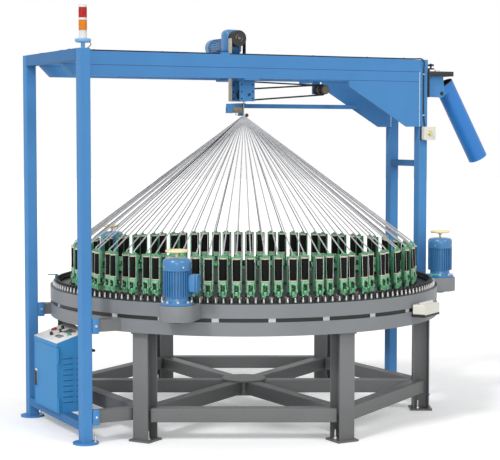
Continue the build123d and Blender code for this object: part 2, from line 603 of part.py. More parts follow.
def make_guide():
    """Guide roller, clamp knob and swinging delivery tube beside the right posts."""
    face = RIGHT_U + POST / 2
    back_n = GUIDE_FRONT_N + GUIDE_LONG
    cheeks = []
    for n in (GUIDE_FRONT_N - BRACKET_THICK, back_n):
        cheek = block(face, GUIDE_U + LUG_R, n, n + BRACKET_THICK, GUIDE_Z - LUG_R, GUIDE_Z - LUG_R + BRACKET_HEIGHT)
        cheeks.append(cheek - across(AXLE_R + RUNNING_GAP, GUIDE_U, GUIDE_Z, n - OVERRUN, n + OVERRUN))
    back = block(face, face + BRACKET_THICK, GUIDE_FRONT_N - BRACKET_THICK, back_n + BRACKET_THICK, TUBE_PIVOT_Z - LUG_R, GUIDE_Z + LUG_R)
    lug_n = GUIDE_FRONT_N + GUIDE_LONG / 2 - TUBE_R - LUG_THICK
    lug = block(face, TUBE_PIVOT_U, lug_n, lug_n + LUG_THICK, TUBE_PIVOT_Z - LUG_R, TUBE_PIVOT_Z + LUG_R)
    lug += across(LUG_R, TUBE_PIVOT_U, TUBE_PIVOT_Z, lug_n, lug_n + LUG_THICK)
    knob_z = GUIDE_Z + LUG_R
    shelf = block(face, face + 2 * KNOB_R + RIB, GUIDE_FRONT_N - BRACKET_THICK, GUIDE_FRONT_N + 2 * KNOB_R, knob_z, knob_z + BRACKET_THICK)
    bracket = cheeks[0] + cheeks[1] + back + lug + shelf
    bracket -= across(AXLE_R + RUNNING_GAP, TUBE_PIVOT_U, TUBE_PIVOT_Z, lug_n - OVERRUN, lug_n + LUG_THICK)
    save("guide_bracket", gantry(bracket))
    roller = across(GUIDE_R, GUIDE_U, GUIDE_Z, GUIDE_FRONT_N + SEAT_GAP, back_n - SEAT_GAP)
    roller += across(AXLE_R, GUIDE_U, GUIDE_Z, GUIDE_FRONT_N - BRACKET_THICK, back_n + BRACKET_THICK)
    save("guide_roller", gantry(roller))
    knob = rod(KNOB_R, 0, KNOB_THICK)
    lobe = rod(RIB, -OVERRUN, KNOB_THICK + OVERRUN)
    for i in range(LEGS):
        knob -= polar(i * STEP_ANGLE, KNOB_R + RIB / 2) * lobe
    spot = Pos(KNOB_U, GUIDE_FRONT_N + KNOB_R, knob_z + BRACKET_THICK + SEAT_GAP)
    save("clamp_knob", gantry(spot * knob))
    # The rolled wall is kept as staves side by side, so that its bore also stays open for collision
    axis_u = TUBE_R * TUBE_AXIS_SHARE
    reach, spread = 2 * TUBE_R, 2 * TUBE_R * tan(pi / TUBE_STAVES)
    wedge = extrude(Polygon((0, 0), (reach, -spread), (reach, spread), align=None), TUBE_LONG)
    stave = tube(TUBE_R, TUBE_R - TUBE_WALL, 0, TUBE_LONG) & wedge
    foot = Pos(axis_u, 0, LUG_R - TUBE_LONG)
    staves = [foot * Rot(0, 0, i * 360 / TUBE_STAVES) * stave for i in range(TUBE_STAVES)]
    ear = across(LUG_R, 0, 0, -TUBE_R + SEAT_GAP, -TUBE_R + LUG_THICK)
    ear += block(0, axis_u, -TUBE_R + SEAT_GAP, -TUBE_R + LUG_THICK, -LUG_R, LUG_R)
    ear -= Pos(axis_u, 0, 0) * rod(TUBE_R, -TUBE_LONG, TUBE_LONG)
    ear += across(AXLE_R, 0, 0, -TUBE_R - LUG_THICK, -TUBE_R + LUG_THICK)
    place = Pos(TUBE_PIVOT_U, GUIDE_FRONT_N + GUIDE_LONG / 2, TUBE_PIVOT_Z) * Rot(0, -TUBE_TILT, 0)
    save("delivery_tube", *[gantry(place * piece) for piece in [ear] + staves])


def make_switches():
    """Switch box on the post, button station and stop levers on the ring."""
    front = RIGHT_FRONT_N - POST / 2
    half = SWITCH_BOX_WIDE / 2
    span = SWITCH_BOX_U - half, SWITCH_BOX_U + half, front - SWITCH_BOX_DEEP, front
    case = block(*span, SWITCH_BOX_TOP - SWITCH_BOX_HEIGHT, SWITCH_BOX_TOP)
    case = fillet(case.edges().filter_by(Axis.Y), RIB)
    button_n = front - SWITCH_BOX_DEEP
    middle = SWITCH_BOX_TOP - SWITCH_BOX_HEIGHT / 2
    case -= across(BUTTON_R + SEAT_GAP, SWITCH_BOX_U, middle, button_n - OVERRUN, button_n + BUTTON_POCKET)
    save("switch_box", gantry(case))
    save("switch_button", gantry(across(BUTTON_R, SWITCH_BOX_U, middle, button_n - BUTTON_TALL, button_n + BUTTON_SEAT)))
    inner = hypot(RING_R, STATION_LONG / 2)
    base = Rot(0, 0, STATION_ANGLE)
    out = inner + STATION_DEEP
    half = STATION_LONG / 2
    top = STATION_BOTTOM + STATION_HEIGHT
    case = block(inner, out, -half, half, STATION_BOTTOM, top)
    tray = block(RING_R - LOWER_RING_WALL, out, -half, half, STATION_BOTTOM - STATION_TRAY, STATION_BOTTOM)
    tray -= rod(RING_R, 0, DECK_TOP)
    case = fillet(case.edges().filter_by(Axis.X), RIB)
    save("station_tray", base * tray)
    for i in range(STATION_BUTTONS):
        spot = Pos(inner + STATION_DEEP / 2, (i - (STATION_BUTTONS - 1) / 2) * STATION_PITCH, top)
        case -= spot * rod(BUTTON_R + SEAT_GAP, -BUTTON_POCKET, OVERRUN)
        save(f"push_button_{i + 1}", base * spot * rod(BUTTON_R, -BUTTON_SEAT, BUTTON_TALL))
    save("button_station", base * case)
    posts = []
    for name, angle in STOP_ANGLES.items():
        wide = STOP_WIDE / 2
        spot = polar(angle, STOP_R) * Pos(0, 0, DECK_TOP)
        posts.append(spot * block(-wide / 2, wide / 2, -wide, wide, 0, STOP_HEIGHT))
        lever_low = STOP_HEIGHT + SEAT_GAP
        lever = rod(RIB, lever_low, lever_low + LEVER_THICK)
        lever += block(0, LEVER_LONG, -LEVER_THICK / 2, LEVER_THICK / 2, lever_low, lever_low + LEVER_THICK)
        save(f"stop_lever_{name}", spot * lever)
    save("stop_posts", *posts)


def make_cabinet():
    """Sheet cabinet with a sloped control top, door, handle and controls."""
    u0, u1 = CABINET_OUT_U, CABINET_OUT_U + CABINET_DEEP
    n0, n1 = CABINET_FRONT_N, CABINET_FRONT_N + CABINET_WIDE
    body_u = u0 + DOOR_THICK
    outline = [(body_u, SILL_TOP), (u1, SILL_TOP), (u1, CABINET_HIGH), (u0, CABINET_LOW)]
    outline += [(u0, CABINET_LOW - DOOR_TOP_INSET), (body_u, CABINET_LOW - DOOR_TOP_INSET)]
    shell = slab(outline, n0, n1)
    wall = CABINET_WALL
    room = block(body_u - OVERRUN, u1 - wall, n0 + wall, n1 - wall, SILL_TOP + wall, CABINET_LOW - DOOR_TOP_INSET - wall)
    shell -= room
    door_low, door_high = SILL_TOP + DOOR_GAP, CABINET_LOW - DOOR_TOP_INSET - DOOR_GAP
    door = block(u0, body_u - DOOR_GAP, n0, n1, door_low, door_high)
    border = DOOR_BORDER
    recess = block(u0 - OVERRUN, u0 + wall, n0 + border, n1 - border, door_low + border, door_high - border)
    hinge = Pos(body_u - DOOR_GAP - border, n0 - border, 0)
    pins = hinge * rod(border - SEAT_GAP, door_low, door_low + HANDLE_LONG)
    pins += hinge * rod(border - SEAT_GAP, door_high - HANDLE_LONG, door_high)
    save("cabinet_door", gantry(door - recess + pins))
    handle_z = (door_low + door_high) / 2
    handle_n = n1 - HANDLE_INSET
    handle_u = u0 + wall - SEAT_GAP
    wide = HANDLE_WIDE / 2
    handle = block(handle_u - HANDLE_THICK, handle_u, handle_n - wide, handle_n + wide, handle_z - HANDLE_LONG + wide, handle_z + wide)
    save("door_handle", gantry(fillet(handle.edges().filter_by(Axis.X), wide / 2)))
    rise = (CABINET_HIGH - CABINET_LOW) / CABINET_DEEP
    slope = Plane(Vector((u0 + u1) / 2, n0, (CABINET_LOW + CABINET_HIGH) / 2), x_dir=(0, 1, 0), z_dir=(-rise, 0, 1))
    sizes = {"emergency_button": MUSHROOM_R, "selector_knob": SELECTOR_R, "start_button": START_R}
    for name, share in PANEL_SHARES.items():
        spot = slope * Pos(share * CABINET_WIDE, 0, 0)
        shell -= spot * rod(sizes[name] + SEAT_GAP, -BUTTON_POCKET, OVERRUN)
        piece = rod(sizes[name], -BUTTON_SEAT, PANEL_BUTTON_TALL)
        if name == "selector_knob":
            grip = block(-sizes[name], sizes[name], -RIB / 2, RIB / 2, 0, PANEL_BUTTON_TALL + RIB)
            piece = rod(sizes[name], -BUTTON_SEAT, RIB) + grip
        save(name, gantry(spot * piece))
    save("cabinet_shell", gantry(shell))
    spot = Plane(Vector(u1, n0 + 2 * MAIN_SWITCH_R, CABINET_LOW - 2 * MAIN_SWITCH_R), z_dir=(1, 0, 0))
    grip = rod(MAIN_SWITCH_R, SEAT_GAP, MAIN_SWITCH_TALL / 2)
    grip += block(-RIB, RIB, -MAIN_SWITCH_R, MAIN_SWITCH_R, SEAT_GAP, MAIN_SWITCH_TALL)
    save("main_switch", gantry(spot * grip))


os.makedirs("parts", exist_ok=True)
make_base()
make_ring()
make_carriers()
make_drives()
make_gantry()
make_lamp()
make_takeup()
make_guide()
make_switches()
make_cabinet()
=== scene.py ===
"""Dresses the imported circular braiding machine: paint, castings, yarns, motors, cables and fasteners."""
from math import acos, atan2, cos, pi, radians, sin

import bmesh
import bpy
from mathutils import Matrix, Vector


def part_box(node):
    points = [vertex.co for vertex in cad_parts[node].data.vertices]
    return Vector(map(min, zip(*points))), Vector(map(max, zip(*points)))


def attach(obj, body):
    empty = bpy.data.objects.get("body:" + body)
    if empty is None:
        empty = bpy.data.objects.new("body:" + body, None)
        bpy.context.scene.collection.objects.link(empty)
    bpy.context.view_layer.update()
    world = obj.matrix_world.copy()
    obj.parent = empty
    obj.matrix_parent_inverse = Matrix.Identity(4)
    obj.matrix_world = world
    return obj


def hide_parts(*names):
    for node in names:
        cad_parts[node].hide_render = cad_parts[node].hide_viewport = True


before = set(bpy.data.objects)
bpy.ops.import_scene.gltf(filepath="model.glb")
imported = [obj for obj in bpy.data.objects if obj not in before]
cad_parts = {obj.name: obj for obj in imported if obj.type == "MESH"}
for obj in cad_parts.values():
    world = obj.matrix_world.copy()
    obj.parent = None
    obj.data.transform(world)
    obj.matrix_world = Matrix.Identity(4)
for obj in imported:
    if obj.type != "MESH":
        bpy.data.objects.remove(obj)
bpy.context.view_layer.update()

# Sizes shared with the solids, in metres
DECK = 1.013
CARRIER_PAIRS = 42
GEAR_CIRCLE = 1.310
CARRIER_SWAY = 0.016
RING_EDGE = 1.513
MOTOR_CIRCLE = 1.650
MOTOR_TALL = 0.320
MOTOR_TURNS = {"front": radians(-106), "right": radians(14), "rear": radians(134)}
POD_BOTTOM = 0.902
POD_NOSE = 0.124
POD_BACK = -0.139
GANTRY_TURN = radians(27)
GANTRY = Matrix.Rotation(GANTRY_TURN, 4, "Z")

# Places in the gantry's own frame: u along the beams, n across them
BEAM_LINES = (-0.110, 0.322)
BEAM_HALF = 0.040
BEAM_START, BEAM_END = -1.551, 1.545
BEAM_SEAM = 2.685
BEAM_BOTTOM = 2.605
LEFT_POST_U, RIGHT_POST_U = -1.591, 1.585
LEFT_POST_LINES = (-0.672, 0.474)
CAPSTAN_U, CAPSTAN_HEIGHT = -0.045, 2.920
PULLEY_U, PULLEY_HEIGHT = 0.710, 2.530
TUBE_PIVOT_U, TUBE_PIVOT_HEIGHT = 1.782, 2.512

# Turns that point a turned shape's own Z along the gantry's frame
FACING_FRONT = Matrix.Rotation(pi / 2, 4, "X")
FACING_BACK = Matrix.Rotation(-pi / 2, 4, "X")
FACING_RIGHT = Matrix.Rotation(pi / 2, 4, "Y")

# Sockets of a colour Mix node, and measures that the finishes share
MIX_FACTOR, MIX_FIRST, MIX_SECOND, MIX_RESULT = 0, 6, 7, 2
# Painted shade that darkens a surface towards the floor: the height where it fades out, and its colour
FLOOR_SHADE_HEIGHT = 0.50
FLOOR_SHADE_COLOUR = (0.075, 0.074, 0.072, 1)
GLOSS_SPREAD = 0.07
GRAIN_DEPTH = 0.0008
WINDING_DEPTH = 0.001
SHARP_ANGLE = radians(32)
TINY = 1e-6

# The photograph's camera, its focal length in pixels
PHOTO_WIDE = 500
FOCAL_PIXELS = 1471.3
SENSOR = 36.0
VIEW_SHIFT = 0.0126
EYE_PLACE = (0, -11.564, 2.174)
EYE_DIP = 0.065

# The room's light on the machine, and the floor
ROOM_LIGHT = 0.55
FLOOR_SIZE = 60.0
FLOOR_DROP = 0.001
FLOOR_GLOW = 0.20


def set_inputs(node, values):
    """Sets a node's unlinked sockets by name or number."""
    for socket, value in values.items():
        node.inputs[socket].default_value = value


def finish(name, colour, roughness, metallic=0.0, mottle=0.05, mottle_scale=2.5, grain=0.0, grain_scale=350.0,
           stretch=(1.0, 1.0, 1.0), coat=0.0, floor_shade_amount=0.0, specular=0.5):
    """A surface with cloudy colour, uneven gloss, painted shade towards the floor and a fine bump, all on
    Object coordinates.
    """
    made = bpy.data.materials.new(name)
    made.use_nodes = True
    nodes = made.node_tree.nodes
    links = made.node_tree.links
    shader = nodes["Principled BSDF"]
    set_inputs(shader, {"Metallic": metallic, "Coat Weight": coat, "Specular IOR Level": specular})
    place = nodes.new("ShaderNodeTexCoord")
    turn = nodes.new("ShaderNodeMapping")
    set_inputs(turn, {"Scale": stretch})
    links.new(place.outputs["Object"], turn.inputs["Vector"])
    cloud = nodes.new("ShaderNodeTexNoise")
    set_inputs(cloud, {"Scale": mottle_scale, "Detail": 5.0})
    links.new(turn.outputs["Vector"], cloud.inputs["Vector"])
    tint = nodes.new("ShaderNodeMix")
    tint.data_type = "RGBA"
    dark = [c * (1 - 2 * mottle) for c in colour] + [1]
    light = [min(1, c * (1 + 2 * mottle)) for c in colour] + [1]
    set_inputs(tint, {MIX_FIRST: dark, MIX_SECOND: light})
    links.new(cloud.outputs["Fac"], tint.inputs[MIX_FACTOR])
    shade = tint.outputs[MIX_RESULT]
    # Painted shade: a dark colour mixed in, strongest at the floor and gone at its height
    if floor_shade_amount:
        parts = nodes.new("ShaderNodeSeparateXYZ")
        links.new(place.outputs["Object"], parts.inputs["Vector"])
        height = nodes.new("ShaderNodeMapRange")
        set_inputs(height, {"From Max": FLOOR_SHADE_HEIGHT, "To Min": floor_shade_amount, "To Max": 0.0})
        links.new(parts.outputs["Z"], height.inputs["Value"])
        shaded_tint = nodes.new("ShaderNodeMix")
        shaded_tint.data_type = "RGBA"
        set_inputs(shaded_tint, {MIX_SECOND: FLOOR_SHADE_COLOUR})
        links.new(height.outputs["Result"], shaded_tint.inputs[MIX_FACTOR])
        links.new(shade, shaded_tint.inputs[MIX_FIRST])
        shade = shaded_tint.outputs[MIX_RESULT]
    links.new(shade, shader.inputs["Base Color"])
    gloss = nodes.new("ShaderNodeMapRange")
    set_inputs(gloss, {"From Min": 0.3, "From Max": 0.7, "To Min": max(0.03, roughness - GLOSS_SPREAD),
                       "To Max": min(1.0, roughness + GLOSS_SPREAD)})
    links.new(cloud.outputs["Fac"], gloss.inputs["Value"])
    links.new(gloss.outputs["Result"], shader.inputs["Roughness"])
    if grain:
        fine = nodes.new("ShaderNodeTexNoise")
        set_inputs(fine, {"Scale": grain_scale, "Detail": 2.0})
        links.new(turn.outputs["Vector"], fine.inputs["Vector"])
        bump = nodes.new("ShaderNodeBump")
        set_inputs(bump, {"Strength": grain, "Distance": GRAIN_DEPTH})
        links.new(fine.outputs["Fac"], bump.inputs["Height"])
        links.new(bump.outputs["Normal"], shader.inputs["Normal"])
    return made


def wound(name, colour, roughness, pitch, depth, fuzz=0.3):
    """Yarn wound on a spool or laid in a strand: level bands with a soft bump."""
    made = finish(name, colour, roughness, mottle=0.18, mottle_scale=60.0, specular=0.2)
    nodes = made.node_tree.nodes
    links = made.node_tree.links
    place = nodes.new("ShaderNodeTexCoord")
    bands = nodes.new("ShaderNodeTexWave")
    bands.wave_type = "BANDS"
    bands.bands_direction = "Z"
    set_inputs(bands, {"Scale": pitch, "Distortion": 1.5})
    links.new(place.outputs["Object"], bands.inputs["Vector"])
    bump = nodes.new("ShaderNodeBump")
    set_inputs(bump, {"Strength": depth, "Distance": WINDING_DEPTH})
    links.new(bands.outputs["Fac"], bump.inputs["Height"])
    links.new(bump.outputs["Normal"], nodes["Principled BSDF"].inputs["Normal"])
    nodes["Principled BSDF"].inputs["Sheen Weight"].default_value = fuzz
    return made


BLUE = finish("gantry_blue_enamel", (0.068, 0.222, 0.475), 0.50, mottle=0.06, grain=0.08, specular=0.12)
# A darker copy of the gantry blue for the header and cross beams: painted shade
PAINTED_SHADE_BLUE = finish("header_beam_painted_shade_blue", (0.042, 0.155, 0.345), 0.50, mottle=0.06, grain=0.08, specular=0.10)
DEEP_BLUE = finish("motor_blue_enamel", (0.045, 0.187, 0.400), 0.33, mottle=0.08, mottle_scale=9, grain=0.08,
                   grain_scale=500, coat=0.2)
CABINET_BLUE = finish("cabinet_blue_powder", (0.036, 0.225, 0.490), 0.52, grain=0.12, grain_scale=900,
                      specular=0.25)
TUBE_BLUE = finish("delivery_tube_blue", (0.018, 0.172, 0.505), 0.38, grain=0.04, coat=0.05)
# The base grey darkens towards the floor with painted shade
GREY = finish("base_grey_enamel", (0.158, 0.163, 0.166), 0.50, mottle=0.09, mottle_scale=4, grain=0.10,
              floor_shade_amount=0.65)
RING_GREY = finish("ring_grey_enamel", (0.184, 0.196, 0.207), 0.45, mottle=0.06, grain=0.06)
PALE_GREY = finish("spacer_machined_grey", (0.52, 0.53, 0.54), 0.40, metallic=0.6, grain=0.05)
TRACK = finish("track_blackened_steel", (0.035, 0.036, 0.038), 0.42, metallic=0.7, mottle=0.2,
               mottle_scale=12)
GREEN = finish("carrier_green_enamel", (0.200, 0.540, 0.290), 0.40, mottle=0.36, mottle_scale=55, grain=0.15)
# The two posts of each carrier in a lit and a shaded copy of the carrier green: painted light on the bow
# post, painted shade on the back post
LIT_BOW_GREEN = finish("carrier_bow_lit_green", (0.090, 0.330, 0.160), 0.38, mottle=0.30, mottle_scale=45,
                    grain=0.10)
SHADED_BACK_GREEN = finish("carrier_back_shaded_green", (0.035, 0.170, 0.075), 0.42, mottle=0.25, mottle_scale=35,
                    grain=0.10)
BEIGE = finish("spool_flange_beige", (0.60, 0.53, 0.42), 0.50, mottle=0.08, mottle_scale=40)
BLACK_YARN = wound("black_wound_yarn", (0.0040, 0.0032, 0.0032), 0.80, 60.0, 0.35, fuzz=0.0)
WHITE_YARN = wound("white_taut_yarn", (0.42, 0.42, 0.435), 0.75, 220.0, 0.30)
GREY_YARN = wound("grey_taut_yarn", (0.12, 0.12, 0.125), 0.70, 220.0, 0.30)
BRAID = wound("flat_braid_beige", (0.50, 0.45, 0.36), 0.75, 90.0, 0.60)
BLACK = finish("black_moulding", (0.014, 0.014, 0.015), 0.48, mottle=0.1, grain=0.10, grain_scale=800)
RUBBER = finish("belt_rubber", (0.012, 0.012, 0.012), 0.72, mottle=0.15, grain=0.15, grain_scale=600)
STEEL = finish("turned_steel", (0.60, 0.61, 0.62), 0.28, metallic=1.0, mottle=0.06, mottle_scale=8,
               grain=0.08, stretch=(1, 1, 40))
ZINC = finish("zinc_fasteners", (0.70, 0.70, 0.69), 0.34, metallic=0.9, mottle=0.1, mottle_scale=60)
CHROME = finish("polished_chrome", (0.74, 0.74, 0.75), 0.10, metallic=1.0, mottle=0.02)
CREAM = finish("handwheel_cream", (0.78, 0.70, 0.40), 0.30, mottle=0.05, mottle_scale=14, coat=0.4)
OFF_WHITE = finish("switch_box_ivory", (0.66, 0.65, 0.58), 0.46, grain=0.10, grain_scale=700)
PANEL_WHITE = finish("control_top_white", (0.74, 0.73, 0.71), 0.36, mottle=0.03, grain=0.05)
LAMP_WHITE = finish("lamp_white_plastic", (0.64, 0.65, 0.63), 0.32, mottle=0.03)
LAMP_BLUE = finish("lamp_plate_blue", (0.16, 0.36, 0.62), 0.38, mottle=0.04)
RED = finish("lamp_red_lens", (0.38, 0.008, 0.008), 0.35, mottle=0.08, mottle_scale=30, specular=0.25)
AMBER = finish("lamp_amber_lens", (0.62, 0.180, 0.006), 0.35, mottle=0.08, mottle_scale=30, specular=0.2)
YELLOW = finish("yellow_button", (0.74, 0.56, 0.05), 0.28, mottle=0.05, coat=0.3)
BUTTON_GREEN = finish("green_button", (0.03, 0.36, 0.20), 0.28, mottle=0.05, coat=0.3)
BROWN = finish("brown_indicator", (0.20, 0.09, 0.03), 0.25, mottle=0.08, coat=0.4)
# A near-black grey that stands for the shade inside the ring and under the pods: painted shade
PAINTED_SHADE_GREY = finish("painted_shade_grey", (0.050, 0.051, 0.054), 0.55, mottle=0.15, grain=0.06)
PULLEY_BROWN = finish("pulley_brown_steel", (0.120, 0.098, 0.066), 0.45, metallic=0.4, mottle=0.2,
                      mottle_scale=25)
CLAMP_BROWN = finish("clamp_worn_steel", (0.200, 0.165, 0.120), 0.42, metallic=0.5, mottle=0.25,
                     mottle_scale=40, grain=0.1)
# Dark blue for seams, slots and gaps: painted shadow
SHADOW_LINE_BLUE = finish("seam_shadow_blue", (0.020, 0.085, 0.230), 0.55)
# Weld beads whose blue paint is lightened as a painted highlight
WELD_HIGHLIGHT_BLUE = finish("weld_bead_painted_highlight", (0.42, 0.55, 0.70), 0.45, mottle=0.2, mottle_scale=90, grain=0.4,
                   grain_scale=200)
GLASS_GREY = finish("display_window", (0.10, 0.11, 0.12), 0.14, mottle=0.08, coat=0.6)


def at(u, n, z):
    """A point of the gantry's own frame."""
    return GANTRY @ Vector((u, n, z))


def gantry_spot(u, n, z):
    """A place in the gantry's own frame, for a shape made at the origin."""
    return GANTRY @ Matrix.Translation((u, n, z))


def nth_turn(k, count):
    """One of several equal steps round local Z."""
    return Matrix.Rotation(2 * pi * k / count, 4, "Z")


def along(start, end):
    """The place that turns local Z from one point to another, and their distance."""
    start, end = Vector(start), Vector(end)
    line = end - start
    return Matrix.Translation(start) @ line.to_track_quat("Z", "Y").to_matrix().to_4x4(), line.length


def block(mesh, low, high, place=Matrix(), round_edge=0.0, steps=2):
    """A box between two corners, with rounded edges."""
    low, high = Vector(low), Vector(high)
    size = high - low
    put = place @ Matrix.Translation((low + high) / 2) @ Matrix.Diagonal((*size, 1))
    made = bmesh.ops.create_cube(mesh, size=1.0, matrix=put)
    if round_edge:
        edges = list(dict.fromkeys(e for v in made["verts"] for e in v.link_edges))
        bmesh.ops.bevel(mesh, geom=edges, offset=round_edge, segments=steps, profile=0.5, affect="EDGES",
                        clamp_overlap=True)


def lathe(mesh, profile, sides, place=Matrix()):
    """Turns (radius, height) pairs about local Z."""
    rings = []
    for radius, height in profile:
        turns = [2 * pi * k / sides for k in range(sides if radius > TINY else 1)]
        spots = [(radius * cos(t), radius * sin(t), height) for t in turns]
        rings.append([mesh.verts.new(place @ Vector(s)) for s in spots])
    for a, b in zip(rings, rings[1:]):
        for k in range(sides):
            j = (k + 1) % sides
            corners = [a[k % len(a)], a[j % len(a)], b[j % len(b)], b[k % len(b)]]
            kept = list(dict.fromkeys(corners))
            if len(kept) > 2:
                mesh.faces.new(kept)


def turned(profile, sides, place=Matrix()):
    """A new mesh that holds one turned shape."""
    mesh = bmesh.new()
    lathe(mesh, profile, sides, place)
    return mesh


def hoop(mesh, inner, outer, low, high, sides=120):
    """A square-edged ring about the machine's axis."""
    lathe(mesh, [(inner, low), (outer, low), (outer, high), (inner, high), (inner, low)], sides)


def torus(mesh, radius, thick, place=Matrix(), sides=40, around=12):
    """A closed round bar ring about local Z."""
    loops = []
    for k in range(sides):
        turn = 2 * pi * k / sides
        ring = []
        for j in range(around):
            lean = 2 * pi * j / around
            reach = radius + thick * cos(lean)
            spot = Vector((reach * cos(turn), reach * sin(turn), thick * sin(lean)))
            ring.append(mesh.verts.new(place @ spot))
        loops.append(ring)
    for k in range(sides):
        for j in range(around):
            a, b = loops[k], loops[(k + 1) % sides]
            i = (j + 1) % around
            mesh.faces.new((a[j], b[j], b[i], a[i]))


def bar(mesh, start, end, radius, sides=8):
    """A straight round bar between two points."""
    place, length = along(start, end)
    lathe(mesh, [(0, 0), (radius, 0), (radius, length), (0, length)], sides, place)


def hex_bolt(mesh, place, radius=0.010, height=0.008):
    """A washer, hexagon head and slightly domed end along local Z."""
    lathe(mesh, [(0, 0), (radius * 1.5, 0), (radius * 1.5, height * 0.25), (0, height * 0.25)], 16, place)
    head = [(radius, height * 0.25), (radius, height * 0.85), (radius * 0.8, height), (0, height)]
    lathe(mesh, head, 6, place)


def set_shading(data):
    """Smooth faces, with edges kept sharp past a set angle."""
    data.polygons.foreach_set("use_smooth", [True] * len(data.polygons))
    data.set_sharp_from_angle(angle=SHARP_ANGLE)


def plain_mesh(name, mesh):
    """Keeps a finished shape as mesh data, with its faces outwards."""
    bmesh.ops.recalc_face_normals(mesh, faces=mesh.faces)
    data = bpy.data.meshes.new(name)
    mesh.to_mesh(data)
    mesh.free()
    return data


def linked(name, data):
    """A new object of the scene."""
    thing = bpy.data.objects.new(name, data)
    bpy.context.scene.collection.objects.link(thing)
    return thing


def piece(name, mesh, look, body="machine", stands_for=()):
    """Makes an object of a finished shape and lets it ride on its body."""
    return settle(name, plain_mesh(name, mesh), look, body, stands_for)


def settle(name, data, look, body="machine", stands_for=()):
    """Gives mesh data its finish, body and the solids that it stands for."""
    set_shading(data)
    data.materials.clear()
    data.materials.append(look)
    thing = linked(name, data)
    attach(thing, body)
    if stands_for:
        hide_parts(*stands_for)
    return thing


def ring_tree():
    """Geometry nodes that set one shape round a circle, turned outwards."""
    tree = bpy.data.node_groups.new("shape_round_the_ring", "GeometryNodeTree")
    face = tree.interface
    sockets = {"Count": "NodeSocketInt", "Radius": "NodeSocketFloat", "Phase": "NodeSocketFloat",
               "Shape": "NodeSocketObject", "Finish": "NodeSocketMaterial"}
    inputs = {}
    for label, kind in sockets.items():
        inputs[label] = face.new_socket(name=label, in_out="INPUT", socket_type=kind).identifier
    face.new_socket(name="Geometry", in_out="OUTPUT", socket_type="NodeSocketGeometry")
    nodes, links = tree.nodes, tree.links
    start = nodes.new("NodeGroupInput")
    end = nodes.new("NodeGroupOutput")
    line = nodes.new("GeometryNodeMeshLine")
    links.new(start.outputs["Count"], line.inputs["Count"])
    index = nodes.new("GeometryNodeInputIndex")

    def sum_of(kind, a, b):
        """One Math node of two sockets or numbers."""
        node = nodes.new("ShaderNodeMath")
        node.operation = kind
        for socket, value in zip(node.inputs, (a, b)):
            if isinstance(value, (int, float)):
                socket.default_value = value
            elif value is not None:
                links.new(value, socket)
        return node.outputs[0]

    stepped = sum_of("ADD", index.outputs[0], start.outputs["Phase"])
    turn = sum_of("MULTIPLY", sum_of("DIVIDE", stepped, start.outputs["Count"]), 2 * pi)
    spot = nodes.new("ShaderNodeCombineXYZ")
    links.new(sum_of("MULTIPLY", sum_of("COSINE", turn, None), start.outputs["Radius"]), spot.inputs["X"])
    links.new(sum_of("MULTIPLY", sum_of("SINE", turn, None), start.outputs["Radius"]), spot.inputs["Y"])
    put = nodes.new("GeometryNodeSetPosition")
    links.new(line.outputs["Mesh"], put.inputs["Geometry"])
    links.new(spot.outputs["Vector"], put.inputs["Position"])
    angle = nodes.new("ShaderNodeCombineXYZ")
    links.new(turn, angle.inputs["Z"])
    shape = nodes.new("GeometryNodeObjectInfo")
    links.new(start.outputs["Shape"], shape.inputs["Object"])
    copies = nodes.new("GeometryNodeInstanceOnPoints")
    links.new(put.outputs["Geometry"], copies.inputs["Points"])
    links.new(shape.outputs["Geometry"], copies.inputs["Instance"])
    links.new(angle.outputs["Vector"], copies.inputs["Rotation"])
    real = nodes.new("GeometryNodeRealizeInstances")
    links.new(copies.outputs["Instances"], real.inputs["Geometry"])
    coat = nodes.new("GeometryNodeSetMaterial")
    links.new(real.outputs["Geometry"], coat.inputs["Geometry"])
    links.new(start.outputs["Finish"], coat.inputs["Material"])
    links.new(coat.outputs["Geometry"], end.inputs["Geometry"])
    return tree, inputs


RING_TREE, RING_INPUTS = ring_tree()


def round_ring(name, mesh, look, count, radius, phase=0.0, stands_for=()):
    """Repeats a small mesh round the ring axis and keeps the result as a plain mesh."""
    shape = linked(name + "_shape", plain_mesh(name + "_shape", mesh))
    holder = linked(name + "_holder", bpy.data.meshes.new(name + "_holder"))
    rule = holder.modifiers.new("round_the_ring", "NODES")
    rule.node_group = RING_TREE
    settings = {"Count": count, "Radius": radius, "Phase": phase, "Shape": shape, "Finish": look}
    for label, value in settings.items():
        rule[RING_INPUTS[label]] = value
    graph = bpy.context.evaluated_depsgraph_get()
    graph.update()
    made = bpy.data.meshes.new_from_object(holder.evaluated_get(graph))
    holder.modifiers.remove(rule)
    bpy.data.objects.remove(holder)
    bpy.data.objects.remove(shape)
    return settle(name, made, look, stands_for=stands_for)


# The two rows of carriers: radius, and place within a carrier pair's pitch
ROWS = {"outer": (GEAR_CIRCLE + CARRIER_SWAY, 0.25), "inner": (GEAR_CIRCLE - CARRIER_SWAY, 0.75)}
SPOOL_LOW, SPOOL_HIGH = 1.150, 1.300
FLANGE_THICK = 0.009
EYE_HEIGHT = 1.337
STRAND_START = EYE_HEIGHT - 0.002
APEX_HEIGHT = 2.308
APEX_RADIUS = 0.016


def deck_block(mesh, low, high, round_edge):
    """A block whose heights are measured from the deck."""
    block(mesh, (*low[:2], DECK + low[2]), (*high[:2], DECK + high[2]), round_edge=round_edge)


